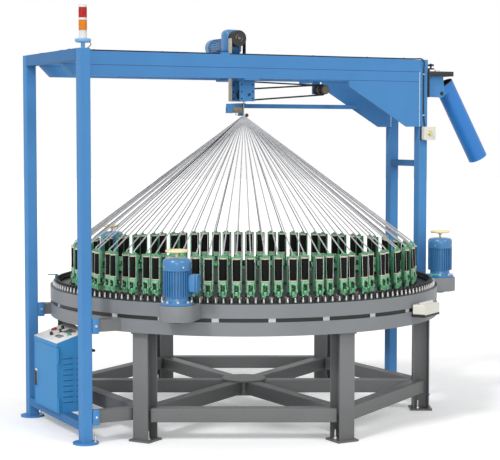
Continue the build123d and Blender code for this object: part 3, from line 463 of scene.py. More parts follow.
def carrier_casting():
    """Green foot casting with side cheeks, an open window, tension lugs and a latch boss."""
    mesh = bmesh.new()
    top = SPOOL_LOW - 0.010 - DECK
    cheek = 0.020
    lug = 0.025
    deck_block(mesh, (-0.024, -0.024, 0.016), (0.024, 0.024, 0.034), 0.003)
    for side in (-1, 1):
        deck_block(mesh, (-0.020, side * cheek - 0.005, 0.028), (0.024, side * cheek + 0.005, top), 0.002)
        deck_block(mesh, (0.010, side * lug - 0.006, 0.052), (0.030, side * lug + 0.006, 0.072), 0.003)
        deck_block(mesh, (-0.030, side * lug - 0.005, 0.080), (-0.008, side * lug + 0.005, 0.096), 0.003)
    deck_block(mesh, (-0.022, -0.024, top - 0.024), (0.026, 0.024, top), 0.003)
    deck_block(mesh, (0.002, -0.009, 0.030), (0.026, 0.009, 0.062), 0.002)
    deck_block(mesh, (-0.024, -0.009, 0.030), (-0.004, 0.009, top - 0.010), 0.002)
    return mesh


def carrier_bow():
    """Side post, top bridge and thread guide, coloured brighter as painted light."""
    mesh = bmesh.new()
    block(mesh, (-0.009, 0.029, 1.080), (0.009, 0.037, 1.322), round_edge=0.0025)
    block(mesh, (-0.010, -0.037, 1.312), (0.010, 0.037, 1.320), round_edge=0.002)
    block(mesh, (-0.006, -0.012, 1.318), (0.006, 0.022, 1.331), round_edge=0.003)
    return mesh


def carrier_back():
    """Post on the other side with its drop-wire bridge, coloured darker as painted shade."""
    mesh = bmesh.new()
    block(mesh, (-0.016, -0.039, 1.070), (0.006, -0.031, 1.318), round_edge=0.002)
    block(mesh, (-0.022, -0.036, 1.070), (0.022, 0.034, 1.084), round_edge=0.002)
    return mesh


def carrier_levers():
    """Black pawl, spring and pins in the casting."""
    mesh = bmesh.new()
    deck_block(mesh, (0.023, -0.012, 0.064), (0.029, 0.010, 0.074), 0.001)
    deck_block(mesh, (0.023, -0.014, 0.086), (0.030, -0.004, 0.110), 0.001)
    deck_block(mesh, (0.023, 0.004, 0.080), (0.028, 0.015, 0.098), 0.001)
    deck_block(mesh, (-0.031, -0.015, 0.060), (-0.021, 0.014, 0.100), 0.002)
    deck_block(mesh, (-0.010, -0.040, 0.020), (0.010, -0.024, 0.054), 0.002)
    deck_block(mesh, (-0.010, 0.024, 0.076), (0.008, 0.038, 0.110), 0.002)
    return mesh


def carrier_flanges():
    """Beige discs at both ends of a spool, with chamfered rims."""
    mesh = bmesh.new()
    radius = 0.031
    rim = 0.002
    for low in (SPOOL_LOW - FLANGE_THICK, SPOOL_HIGH):
        high = low + FLANGE_THICK
        lathe(mesh, [(0, low), (radius - rim, low), (radius, low + rim), (radius, high - rim),
                     (radius - rim, high), (0, high)], 18)
    return mesh


def spool_body():
    """Yarn wound on a spool, slightly waisted."""
    full, waist, end = 0.027, 0.0265, 0.025
    lead_in = 0.006
    middle = (SPOOL_LOW + SPOOL_HIGH) / 2
    return turned([(0, SPOOL_LOW), (end, SPOOL_LOW), (full, SPOOL_LOW + lead_in), (waist, middle),
                   (full, SPOOL_HIGH - lead_in), (end, SPOOL_HIGH), (0, SPOOL_HIGH)], 18)


def carrier_feet():
    """Black slider under each carrier and its two guide rollers."""
    mesh = bmesh.new()
    deck_block(mesh, (-0.026, -0.020, 0), (0.030, 0.020, 0.011), 0.002)
    roller = [(0, DECK), (0.008, DECK), (0.008, DECK + 0.020), (0.006, DECK + 0.023), (0, DECK + 0.023)]
    for side in (-1, 1):
        lathe(mesh, roller, 12, Matrix.Translation((0.024, side * 0.014, 0)))
    return mesh


def thread_eye():
    """Bright wire eye on top of each carrier, and the two wires beside its spool."""
    mesh = bmesh.new()
    torus(mesh, 0.006, 0.0016, Matrix.Translation((0, 0, EYE_HEIGHT - 0.004)) @ FACING_RIGHT, 14, 6)
    bar(mesh, (0.012, 0.030, 1.080), (0.012, 0.030, 1.316), 0.0018, 6)
    bar(mesh, (0.022, -0.028, 1.090), (0.014, -0.030, 1.316), 0.0016, 6)
    return mesh


def taut_yarn(radius):
    """A tapering strand from a carrier's eye to the forming ring."""
    place, length = along((radius, 0, STRAND_START), (APEX_RADIUS, 0, APEX_HEIGHT))
    return turned([(0, 0), (0.0050, 0), (0.0034, length), (0, length)], 6, place)


def dress_carriers():
    """Both rows of carriers with their spools and strands, and the studs and buffers at the deck's edge."""
    parts = (("carrier_castings", carrier_casting, GREEN, "carrier_green", ("carrier_frames",)),
             ("carrier_levers", carrier_levers, BLACK, "spool_black", ()),
             # Bow posts in the lit green and back posts in the shaded green: painted light and shade
             ("carrier_bows", carrier_bow, LIT_BOW_GREEN, "carrier_green", ()),
             ("carrier_backs", carrier_back, SHADED_BACK_GREEN, "carrier_green", ()),
             ("spool_flanges", carrier_flanges, BEIGE, "box_offwhite", ()),
             ("wound_spools", spool_body, BLACK_YARN, "spool_black", ("spools",)),
             ("carrier_sliders", carrier_feet, BLACK, "spool_black", ()),
             ("thread_eyes", thread_eye, ZINC, "steel", ()))
    for row, (radius, phase) in ROWS.items():
        for name, shape, look, slot, stands_for in parts:
            round_ring(f"{name}_{row}", shape(), look, CARRIER_PAIRS, radius, phase, stands_for)
        round_ring(f"taut_yarns_{row}", taut_yarn(radius), WHITE_YARN, CARRIER_PAIRS, 0.0,
                   phase, ("yarn_strands",))
    edge_count = 4 * CARRIER_PAIRS
    stud = turned([(0, DECK), (0.008, DECK), (0.008, DECK + 0.016), (0.005, DECK + 0.018),
                   (0.005, DECK + 0.032), (0, DECK + 0.032)], 10)
    round_ring("deck_edge_studs", stud, ZINC, edge_count, RING_EDGE - 0.026, 0.5)
    peg = turned([(0, DECK), (0.017, DECK), (0.017, DECK + 0.020), (0.012, DECK + 0.024),
                  (0.012, DECK + 0.044), (0.009, DECK + 0.047), (0, DECK + 0.047)], 10)
    round_ring("deck_edge_buffers", peg, BLACK, edge_count, RING_EDGE - 0.052, 0.0)


def finned_motor():
    """Flange motor: foot flange, neck, finned barrel, rounded fan cowl."""
    fins = 32
    mesh = turned([(0, 0), (0.110, 0), (0.112, 0.003), (0.112, 0.016), (0.108, 0.020), (0.082, 0.024),
                   (0.078, 0.050), (0.085, 0.062), (0.085, 0.240), (0.096, 0.240), (0.098, 0.244),
                   (0.098, 0.290), (0.094, 0.306), (0.084, 0.316), (0.066, MOTOR_TALL), (0, MOTOR_TALL)], 40)
    for k in range(fins):
        block(mesh, (0.080, -0.0022, 0.060), (0.097, 0.0022, 0.236), nth_turn(k + 0.5, fins))
    lathe(mesh, [(0.097, 0.236), (0.0995, 0.238), (0.0995, 0.246), (0.097, 0.248)], 40)
    return mesh


def motor_trim():
    """Flange bolts and cowl screws."""
    mesh = bmesh.new()
    bolts, screws = 8, 4
    for k in range(bolts):
        hex_bolt(mesh, nth_turn(k + 0.5, bolts) @ Matrix.Translation((0.098, 0, 0.020)), 0.008, 0.012)
    for k in range(screws):
        spot = nth_turn(k + 0.5, screws) @ Matrix.Translation((0.0975, 0, 0.262)) @ FACING_RIGHT
        hex_bolt(mesh, spot, 0.004, 0.003)
    return mesh


def terminal_box():
    """Cast box on the motor's side with its lid and cable gland."""
    mesh = bmesh.new()
    block(mesh, (-0.030, 0.080, 0.106), (0.030, 0.110, 0.196), round_edge=0.004)
    block(mesh, (-0.043, 0.100, 0.094), (0.043, 0.142, 0.212), round_edge=0.006)
    block(mesh, (-0.045, 0.144, 0.092), (0.045, 0.158, 0.214), round_edge=0.005)
    gland = Matrix.Translation((0, 0.122, 0.094)) @ Matrix.Rotation(pi, 4, "X")
    lathe(mesh, [(0, 0), (0.013, 0), (0.013, 0.016), (0.010, 0.020), (0, 0.020)], 6, gland)
    return mesh


def hand_wheel():
    """Cast wheel: round rim, dished spokes and boss."""
    mesh = bmesh.new()
    spokes = 5
    torus(mesh, 0.0705, 0.0095, Matrix.Translation((0, 0, 0.049)), 44, 12)
    lathe(mesh, [(0, 0.0005), (0.010, 0.0005), (0.011, 0.030), (0.020, 0.032), (0.022, 0.036),
                 (0.022, 0.050), (0.018, 0.054), (0.009, 0.055), (0, 0.055)], 24)
    for k in range(spokes):
        block(mesh, (0.016, -0.007, 0.038), (0.068, 0.007, 0.046), nth_turn(k, spokes), round_edge=0.003)
    return mesh


def merged(parts):
    """Shapes moved to their places, as one mesh."""
    whole = bmesh.new()
    for source, place in parts:
        source.transform(place)
        data = bpy.data.meshes.new("part_copy")
        source.to_mesh(data)
        source.free()
        whole.from_mesh(data)
        bpy.data.meshes.remove(data)
    return whole


def drive_pod():
    """Grey housing below a motor: round nose and straight flanks into the ring."""
    mesh = bmesh.new()
    low, high = POD_BOTTOM - DECK, 0.0
    steps = 24
    turns = [-pi / 2 + pi * k / steps for k in range(steps + 1)]
    plan = [(POD_NOSE * cos(t), POD_NOSE * sin(t)) for t in turns]
    plan += [(POD_BACK, POD_NOSE), (POD_BACK, -POD_NOSE)]
    ring = [mesh.verts.new((x, y, low)) for x, y in plan]
    shell = mesh.faces.new(ring)
    grown = bmesh.ops.extrude_face_region(mesh, geom=[shell])
    lifted = [v for v in grown["geom"] if isinstance(v, bmesh.types.BMVert)]
    bmesh.ops.translate(mesh, verts=lifted, vec=(0, 0, high - low))
    rims = [e for e in mesh.edges if abs(e.verts[0].co.z - e.verts[1].co.z) < TINY and e.is_manifold]
    bmesh.ops.bevel(mesh, geom=rims, offset=0.005, segments=3, profile=0.5, affect="EDGES",
                    clamp_overlap=True)
    return mesh


def pod_cap():
    """Drive cap under a pod, dark with painted shade."""
    seat = POD_BOTTOM - DECK + 0.002
    return turned([(0, -0.130), (0.030, -0.128), (0.040, -0.122), (0.044, seat), (0, seat)], 28)


def dress_motors():
    """The three drives: motors, bolts, terminal cases, pods with their caps, and handwheels."""
    spots = {}
    for name, turn in MOTOR_TURNS.items():
        spots[name] = Matrix.Rotation(turn, 4, "Z") @ Matrix.Translation((MOTOR_CIRCLE, 0, DECK))
    parts = (("finned_motors", finned_motor, DEEP_BLUE, "blue_paint", ("motor_frames",)),
             ("motor_bolts", motor_trim, ZINC, "steel", ()),
             ("motor_terminal_cases", terminal_box, DEEP_BLUE, "blue_paint", ("motor_terminal_boxes",)),
             ("rounded_drive_pods", drive_pod, RING_GREY, "grey_paint", ("drive_pods",)),
             ("pod_drive_caps", pod_cap, PAINTED_SHADE_GREY, "grey_paint", ()))
    for name, shape, look, slot, stands_for in parts:
        mesh = merged([(shape(), spot) for spot in spots.values()])
        piece(name, mesh, look, stands_for=stands_for)
    for name, spot in spots.items():
        wheel = merged([(hand_wheel(), spot @ Matrix.Translation((0, 0, MOTOR_TALL)))])
        body = f"handwheel_{name}"
        piece(f"cast_{body}", wheel, CREAM, body, (body,))


def dress_lamp():
    """The stacked lamp: stem and dish, white foot and two ribbed lenses."""
    spot = gantry_spot(LEFT_POST_U, LEFT_POST_LINES[0], 2.770)
    dish_top, foot_top = 0.064, 0.121
    lens_tall, lens_step = 0.072, 0.087
    ribs = 8

    def ribbed(start):
        """Profile of a lens with rounded ribs."""
        profile = [(0, start)]
        for k in range(ribs + 1):
            z = start + 0.001 + k * 0.070 / ribs
            profile += [(0.0285, z), (0.0298, z + 0.0035)]
        return profile[:-1] + [(0, start + lens_tall)]

    lenses = (("amber_ribbed_lens", foot_top, AMBER, "lamp_amber", "lamp_lens_amber"),
              ("red_ribbed_lens", foot_top + lens_step, RED, "lamp_red", "lamp_lens_red"))
    for name, start, look, slot, node in lenses:
        piece(name, turned(ribbed(start), 36, spot), look, stands_for=(node,))
    dish = turned([(0, 0), (0.015, 0), (0.015, 0.036), (0.044, 0.038), (0.054, 0.043), (0.057, 0.050),
                   (0.057, 0.058), (0.054, dish_top), (0, dish_top)], 40, spot)
    piece("lamp_stem_and_dish", dish, LAMP_BLUE, stands_for=("lamp_base",))
    foot = turned([(0, dish_top), (0.030, dish_top), (0.030, 0.074), (0.0285, 0.077), (0.0285, 0.114),
                   (0.030, 0.117), (0.030, foot_top), (0, foot_top)], 36, spot)
    piece("lamp_white_foot", foot, LAMP_WHITE)


def dress_panel():
    """White sloped control plate with its windows, bezels, stop button, knobs and indicator."""
    face = gantry_spot(-1.532, -0.280, 0.702) @ Matrix.Rotation(-0.303, 4, "Y")
    half = 0.134
    stop_n = 0.400
    plate = bmesh.new()
    block(plate, (-half, 0.004, 0.0), (half, 0.496, 0.004), face, round_edge=0.001)
    piece("sloped_control_plate", plate, PANEL_WHITE)
    window = bmesh.new()
    block(window, (0.010, 0.130, 0.003), (0.070, 0.240, 0.010), face, round_edge=0.002)
    block(window, (-0.070, 0.115, 0.003), (-0.030, 0.225, 0.008), face, round_edge=0.002)
    piece("display_windows", window, GLASS_GREY)
    bezels = bmesh.new()
    for n, size in ((stop_n, 0.021), (0.260, 0.015), (0.080, 0.013)):
        bore, rim = size + 0.0006, size + 0.006
        ring = [(bore, 0.003), (rim, 0.003), (rim, 0.007), (size + 0.003, 0.009), (bore, 0.009),
                (bore, 0.003)]
        lathe(bezels, ring, 28, face @ Matrix.Translation((0, n, 0)))
    piece("panel_bezels", bezels, STEEL)
    mushroom = turned([(0, -0.005), (0.012, -0.005), (0.012, 0.010), (0.021, 0.012), (0.021, 0.018),
                       (0.018, 0.022), (0, 0.023)], 30, face @ Matrix.Translation((0, stop_n, 0)))
    piece("mushroom_head", mushroom, RED, "emergency_button", ("emergency_button",))
    knobs = bmesh.new()
    for u, n in ((0.050, 0.345), (-0.060, 0.300)):
        lathe(knobs, [(0, 0.004), (0.015, 0.004), (0.015, 0.008), (0.012, 0.010), (0.011, 0.026),
                      (0.009, 0.028), (0, 0.028)], 24, face @ Matrix.Translation((u, n, 0)))
    piece("panel_round_knobs", knobs, BLACK)
    dome = turned([(0, 0.004), (0.012, 0.004), (0.012, 0.010), (0.009, 0.015), (0, 0.017)], 24,
                  face @ Matrix.Translation((0.055, 0.110, 0)))
    piece("brown_indicator_dome", dome, BROWN)


def dress_cabinet():
    """Louvres with dark slots of painted shade, the painted shadow line over the door, the main switch and
    the handle's plate.
    """
    vents = bmesh.new()
    slots = bmesh.new()
    for row in range(9):
        z = 0.230 + row * 0.040
        for u in (-1.575, -1.475):
            block(vents, (u - 0.038, -0.2835, z), (u + 0.038, -0.2795, z + 0.012), GANTRY, round_edge=0.0018)
            block(slots, (u - 0.037, -0.2812, z - 0.006), (u + 0.037, -0.2797, z + 0.001), GANTRY)
    piece("side_louvres", vents, CABINET_BLUE)
    # The line over the door is a dark strip of painted shadow
    block(slots, (-1.6607, -0.2805, 0.6320), (-1.6400, 0.2195, 0.6348), GANTRY)
    piece("louvre_slots_and_door_line", slots, SHADOW_LINE_BLUE)
    side = gantry_spot(-1.404, -0.204, 0.586) @ FACING_RIGHT
    switch = turned([(0, 0.0004), (0.037, 0.0004), (0.038, 0.003), (0.038, 0.026), (0.034, 0.031),
                     (0, 0.032)], 32, side)
    block(switch, (-0.009, -0.036, 0.026), (0.009, 0.036, 0.060), side, round_edge=0.006)
    piece("rotary_main_switch", switch, BLACK, "main_switch", ("main_switch",))
    lock = bmesh.new()
    block(lock, (-1.6625, 0.156, 0.300), (-1.6575, 0.192, 0.420), GANTRY, round_edge=0.002)
    piece("handle_escutcheon", lock, CHROME, "cabinet_door")


def arch(mesh, inner, outer, n0, n1, steps=20):
    """The half turn of belt that lies in the capstan's groove."""
    rows = []
    for k in range(steps + 1):
        turn = pi * k / steps
        ring = []
        for reach, n in ((inner, n0), (outer, n0), (outer, n1), (inner, n1)):
            spot = at(CAPSTAN_U - reach * cos(turn), n, CAPSTAN_HEIGHT + reach * sin(turn))
            ring.append(mesh.verts.new(spot))
        rows.append(ring)
    for a, b in zip(rows, rows[1:]):
        for j in range(4):
            i = (j + 1) % 4
            mesh.faces.new((a[j], a[i], b[i], b[j]))
    mesh.faces.new(rows[0])
    mesh.faces.new(rows[-1])


def dress_takeup():
    """Finned gear motor, capstan nut, roller box screws and pulley ribs."""
    fins = 24
    motor_place = gantry_spot(CAPSTAN_U, 0.186, 2.867) @ FACING_BACK
    motor = turned([(0, 0), (0.060, 0), (0.060, 0.215), (0.068, 0.216), (0.068, 0.280), (0.060, 0.296),
                    (0.040, 0.300), (0, 0.300)], 32, motor_place)
    for k in range(fins):
        block(motor, (0.056, -0.002, 0.012), (0.068, 0.002, 0.208), motor_place @ nth_turn(k, fins))
    block(motor, (-0.120, 0.066, 2.799), (0.030, 0.186, 2.995), GANTRY, round_edge=0.042, steps=6)
    piece("geared_takeup_motor", motor, DEEP_BLUE, stands_for=("takeup_gearmotor",))
    wheel_place = gantry_spot(CAPSTAN_U, -0.0102, CAPSTAN_HEIGHT) @ FACING_FRONT
    hub = turned([(0, 0.006), (0.010, 0.006), (0.012, 0.004), (0.012, 0.0), (0, 0.0)], 20, wheel_place)
    lathe(hub, [(0.024, 0.0), (0.027, 0.004), (0.030, 0.0)], 28, wheel_place)
    piece("capstan_nut", hub, CLAMP_BROWN, "takeup_capstan")
    screws = bmesh.new()
    for n in (-0.062, 0.084):
        for u in (-0.048, 0.048):
            for z in (2.450, 2.505, 2.560):
                hex_bolt(screws, gantry_spot(u, n, z) @ FACING_FRONT, 0.0045, 0.005)
    piece("roller_box_screws", screws, TRACK)
    ribs = bmesh.new()
    rib = [(0.0325, 0), (0.037, 0.001), (0.037, 0.007), (0.0325, 0.008)]
    for n in (-0.052, -0.036, -0.020, -0.004, 0.040, 0.056, 0.072, 0.086):
        lathe(ribs, rib, 32, gantry_spot(PULLEY_U, n, PULLEY_HEIGHT) @ FACING_BACK)
    piece("pulley_ribs", ribs, RUBBER, "belt_pulley")


def dress_braid():
    """The drawn braid, the capstan's return belt, and the clamp, nozzles and knob at the forming ring."""
    ribbon = bmesh.new()
    block(ribbon, (-0.1085, -0.005, 2.434), (-0.1045, 0.051, 2.9195), GANTRY, round_edge=0.0012)
    block(ribbon, (-0.1085, -0.005, 2.430), (0.004, 0.051, 2.434), GANTRY, round_edge=0.0012)
    bar(ribbon, at(0, 0, 2.310), at(0, 0, 2.432), 0.0042, 12)
    piece("drawn_braid", ribbon, BRAID, stands_for=("braid_band",))
    belt = bmesh.new()
    block(belt, (0.0145, -0.004, 2.800), (0.0172, 0.050, 2.919), GANTRY, round_edge=0.001)
    arch(belt, 0.0594, 0.0622, -0.004, 0.050)
    piece("capstan_return_belt", belt, RUBBER)
    clamp = bmesh.new()
    block(clamp, (-0.098, -0.016, 2.340), (-0.018, 0.016, 2.383), GANTRY, round_edge=0.003)
    block(clamp, (-0.088, -0.020, 2.352), (-0.060, -0.014, 2.372), GANTRY, round_edge=0.002)
    piece("braid_clamp_bar", clamp, CLAMP_BROWN)
    nozzle = turned([(0, 0.0), (0.010, 0.0), (0.013, 0.004), (0.013, 0.018), (0, 0.018)], 20,
                    gantry_spot(-0.062, 0, 2.323))
    lathe(nozzle, [(0.007, 0.0), (0.010, 0.0), (0.012, 0.012), (0.007, 0.012)], 24, gantry_spot(0, 0, 2.300))
    piece("braid_nozzle", nozzle, ZINC)
    end = bmesh.new()
    block(end, (-0.152, -0.014, 2.338), (-0.100, 0.014, 2.386), GANTRY, round_edge=0.003)
    piece("clamp_end_block", end, BLUE)
    knob = turned([(0, -0.012), (0.006, -0.012), (0.007, 0.0), (0.013, 0.003), (0.015, 0.009), (0.012, 0.016),
                   (0, 0.018)], 20, gantry_spot(0.017, -0.012, 2.322) @ FACING_FRONT)
    piece("forming_ring_knob", knob, BLACK)


def dress_ring():
    """Black ring in the gap as painted shadow, dark inner walls and spacers as painted shade, and the two
    heavier strands on the left.
    """
    gap_low, gap_high = 0.8795, 0.9085
    # A black ring that fills the gap: painted shadow
    gap = bmesh.new()
    hoop(gap, 1.488, 1.4995, gap_low, gap_high)
    piece("gap_filler_ring", gap, BLACK)
    # A thin dark sheet on the housing's inner wall and a dark inner ring below it: painted shade
    lining = bmesh.new()
    hoop(lining, 1.1062, 1.1078, 0.909, 1.012)
    hoop(lining, 1.107, 1.160, 0.752, 0.880)
    piece("ring_inside_walls", lining, PAINTED_SHADE_GREY)
    seat = bmesh.new()
    # The spacers in the gap take the painted shade grey as well
    block(seat, (-0.020, -0.025, gap_low), (0.020, 0.025, gap_high), round_edge=0.002)
    round_ring("inner_ring_spacers", seat, PAINTED_SHADE_GREY, 24, 1.135, 0.5)
    foot = Vector((ROWS["outer"][0], 0, STRAND_START))
    apex = Vector((APEX_RADIUS, 0, APEX_HEIGHT))
    for name, step, look in (("grey_heavy_strand", 42, GREY_YARN), ("black_heavy_strand", 50, BLACK_YARN)):
        turn = nth_turn(step + 0.5, 2 * CARRIER_PAIRS)
        strand = bmesh.new()
        bar(strand, turn @ foot, turn @ apex, 0.0042, 8)
        piece(name, strand, look)


def cable(name, route, diameter):
    """A cable held at both ends: one smooth line that follows its route's control points."""
    line = bpy.data.curves.new(name, "CURVE")
    line.dimensions = "3D"
    line.bevel_depth = diameter / 2
    line.bevel_resolution = 4
    line.use_fill_caps = True
    run = line.splines.new("NURBS")
    run.points.add(len(route) - 1)
    for knot, spot in zip(run.points, route):
        knot.co = (*at(*spot), 1)
    run.order_u = 3
    run.use_endpoint_u = True
    run.resolution_u = 8
    line.materials.append(RUBBER)
    lead = linked(name, line)
    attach(lead, "machine")


def dress_gantry():
    """Painted shadow lines in the seams between the stacked tubes, weld beads lightened as painted highlight,
    and the three cables with their ties.
    """
    # Thin dark strips along the tube seams and beam bottoms: painted shadow
    seams = bmesh.new()
    skin = 0.0005
    for n in BEAM_LINES:
        for side in (-1, 1):
            face = n + side * (BEAM_HALF + 0.0002)
            block(seams, (BEAM_START, face - skin, BEAM_SEAM - 0.002),
                  (BEAM_END, face + skin, BEAM_SEAM + 0.002), GANTRY)
    beam_fronts = [n - BEAM_HALF - skin for n in BEAM_LINES]
    for n in beam_fronts:
        block(seams, (0.870, n - skin, BEAM_BOTTOM - 0.0015),
              (BEAM_END, n + skin, BEAM_BOTTOM + 0.0015), GANTRY)
    piece("beam_seams", seams, SHADOW_LINE_BLUE)
    # Weld beads at the gusset edges, pale blue as painted highlight
    welds = bmesh.new()
    weld_u = BEAM_END + skin
    for n in beam_fronts:
        bar(welds, at(weld_u, n, 2.236), at(weld_u, n, 2.684), 0.0042, 6)
    piece("gusset_welds", welds, WELD_HIGHLIGHT_BLUE)
    cable("control_cable", [
        (-1.500, -0.128, 2.7905), (-1.440, -0.128, 2.7905), (-0.900, -0.131, 2.7905),
        (-0.300, -0.127, 2.7905), (0.300, -0.131, 2.7905), (0.900, -0.128, 2.7905),
        (1.440, -0.128, 2.7905), (1.525, -0.132, 2.7920), (1.562, -0.157, 2.7935),
        (1.577, -0.170, 2.7660), (1.579, -0.1600, 2.7150), (1.580, -0.1560, 2.640),
        (1.579, -0.1560, 2.420), (1.582, -0.1570, 2.300), (1.590, -0.1640, 2.2360)], 0.010)
    cable("roller_box_lead", [
        (0.0640, 0.0840, 2.5880), (0.150, 0.086, 2.5868), (0.330, 0.095, 2.5815), (0.500, 0.104, 2.5765),
        (0.600, 0.1075, 2.5740), (0.6765, 0.1085, 2.5730)], 0.012)
    cable("lamp_lead", [
        (-1.557, -0.689, 2.8120), (-1.545, -0.695, 2.8070), (-1.540, -0.698, 2.7960),
        (-1.549, -0.693, 2.7820), (-1.565, -0.685, 2.7700)], 0.0055)
    ties = bmesh.new()
    for u in (-1.30, -0.75, -0.15, 0.55, 1.05, 1.40):
        block(ties, (u - 0.004, -0.139, 2.7845), (u + 0.004, -0.119, 2.7970), GANTRY, round_edge=0.0015)
    piece("cable_ties", ties, RUBBER)
    ties = bmesh.new()
    for z in (2.665, 2.330):
        block(ties, (1.571, -0.1625, z - 0.004), (1.587, -0.1495, z + 0.004), GANTRY, round_edge=0.0015)
    piece("post_cable_ties", ties, ZINC)


def dress_delivery():
    """Roller bars, half-round pivot plate, catch, pivot bolt with the tube's mouth, and star knob."""
    bars = bmesh.new()
    for n in (-0.162, 0.090):
        block(bars, (1.636, n, 2.652), (1.874, n + 0.012, 2.692), GANTRY, round_edge=0.003)
        lathe(bars, [(0, 0), (0.012, 0), (0.012, 0.014), (0.009, 0.016), (0, 0.016)], 18,
              gantry_spot(1.840, n + 0.0122, 2.672) @ FACING_FRONT)
    block(bars, (1.6255, -0.162, 2.478), (1.637, 0.102, 2.706), GANTRY, round_edge=0.002)
    block(bars, (1.6255, -0.162, 2.706), (1.679, -0.106, 2.717), GANTRY, round_edge=0.002)
    piece("roller_carrier_bars", bars, BLACK, stands_for=("guide_bracket",))
    web = bmesh.new()
    rim_radius = 0.034
    turns = [radians(-96 + 12 * k) for k in range(11)]
    rim = [(TUBE_PIVOT_U + rim_radius * cos(t), TUBE_PIVOT_HEIGHT + rim_radius * sin(t)) for t in turns]
    outline = [(1.637, 2.482)] + rim + [(1.800, 2.600), (1.796, 2.654), (1.637, 2.654)]
    front = [web.verts.new(at(u, -0.124, z)) for u, z in outline]
    back = [web.verts.new(at(u, -0.1102, z)) for u, z in outline]
    web.faces.new(front)
    web.faces.new(back)
    for k in range(len(outline)):
        j = (k + 1) % len(outline)
        web.faces.new((front[k], front[j], back[j], back[k]))
    piece("half_round_pivot_plate", web, BLUE)
    bright = bmesh.new()
    block(bright, (1.690, -0.1635, 2.690), (1.738, -0.1485, 2.705), GANTRY, round_edge=0.003)
    bar(bright, at(1.672, -0.150, 2.716), at(1.722, -0.156, 2.702), 0.005, 10)
    piece("roller_bar_catch", bright, ZINC)
    pivot = bmesh.new()
    hex_bolt(pivot, gantry_spot(TUBE_PIVOT_U, -0.1244, TUBE_PIVOT_HEIGHT) @ FACING_FRONT, 0.011, 0.010)
    tube = gantry_spot(TUBE_PIVOT_U, -0.030, TUBE_PIVOT_HEIGHT) @ Matrix.Rotation(radians(-30), 4, "Y")
    mouth = tube @ Matrix.Translation((0.112, 0, 0.034))
    lathe(pivot, [(0.0748, -0.160), (0.0742, -0.160), (0.0742, 0.004), (0.0797, 0.004), (0.0797, 0.0002),
                  (0.0748, 0.0002), (0.0748, -0.160)], 48, mouth)
    piece("tube_pivot_bolt_and_mouth", pivot, BLACK, "delivery_tube")
    low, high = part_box("clamp_knob")
    middle = Matrix.Translation(((low[0] + high[0]) / 2, (low[1] + high[1]) / 2, low[2]))
    star = turned([(0, 0), (0.008, 0), (0.008, 0.014), (0.014, 0.018), (0.015, 0.030), (0.010, 0.036),
                   (0, 0.037)], 20, middle)
    lobes = 5
    for k in range(lobes):
        lobe = middle @ nth_turn(k, lobes) @ Matrix.Translation((0.017, 0, 0.016))
        lathe(star, [(0, 0), (0.007, 0), (0.009, 0.003), (0.009, 0.013), (0.007, 0.016), (0, 0.016)], 12,
              lobe)
    piece("star_clamp_knob", star, BLACK, "clamp_knob", ("clamp_knob",))


def dress_switch_box():
    """Gasket behind the post's switch box and the bright collar of its button."""
    trim = bmesh.new()
    block(trim, (1.5535, -0.170, 2.1250), (1.5600, -0.1503, 2.2370), GANTRY, round_edge=0.001)
    piece("switch_box_gasket", trim, BLACK)
    bore, rim = 0.0165, 0.023
    collar = turned([(bore, -0.001), (rim, -0.001), (rim, 0.003), (0.020, 0.005), (bore, 0.005),
                     (bore, -0.001)], 28, gantry_spot(1.612, -0.208, 2.181) @ FACING_FRONT)
    piece("switch_button_collar", collar, STEEL)


def dress_belt():
    """The drive belt as a closed loop round its roller and pulley."""
    first, second = Vector((0.016, 2.482)), Vector((PULLEY_U, PULLEY_HEIGHT))
    wide, narrow = 0.037, 0.033
    line = second - first
    lean = atan2(line.y, line.x)
    open_turn = acos((wide - narrow) / line.length)
    steps = 18
    ends = ((first, wide, open_turn, 2 * pi - 2 * open_turn), (second, narrow, -open_turn, 2 * open_turn))

    def loop(gap):
        """The belt's line at a distance from both rims."""
        spots = []
        for centre, radius, start, span in ends:
            for k in range(steps + 1):
                turn = lean + start + span * k / steps
                spots.append(centre + (radius + gap) * Vector((cos(turn), sin(turn))))
        return spots

    mesh = bmesh.new()
    rings = []
    for gap, n in ((0.0008, 0.010), (0.0135, 0.010), (0.0135, 0.030), (0.0008, 0.030)):
        rings.append([mesh.verts.new(at(p.x, n, p.y)) for p in loop(gap)])
    count = len(rings[0])
    for side in range(4):
        a, b = rings[side], rings[(side + 1) % 4]
        for k in range(count):
            j = (k + 1) % count
            mesh.faces.new((a[k], a[j], b[j], b[k]))
    piece("drive_belt_loop", mesh, RUBBER, stands_for=("drive_belt",))


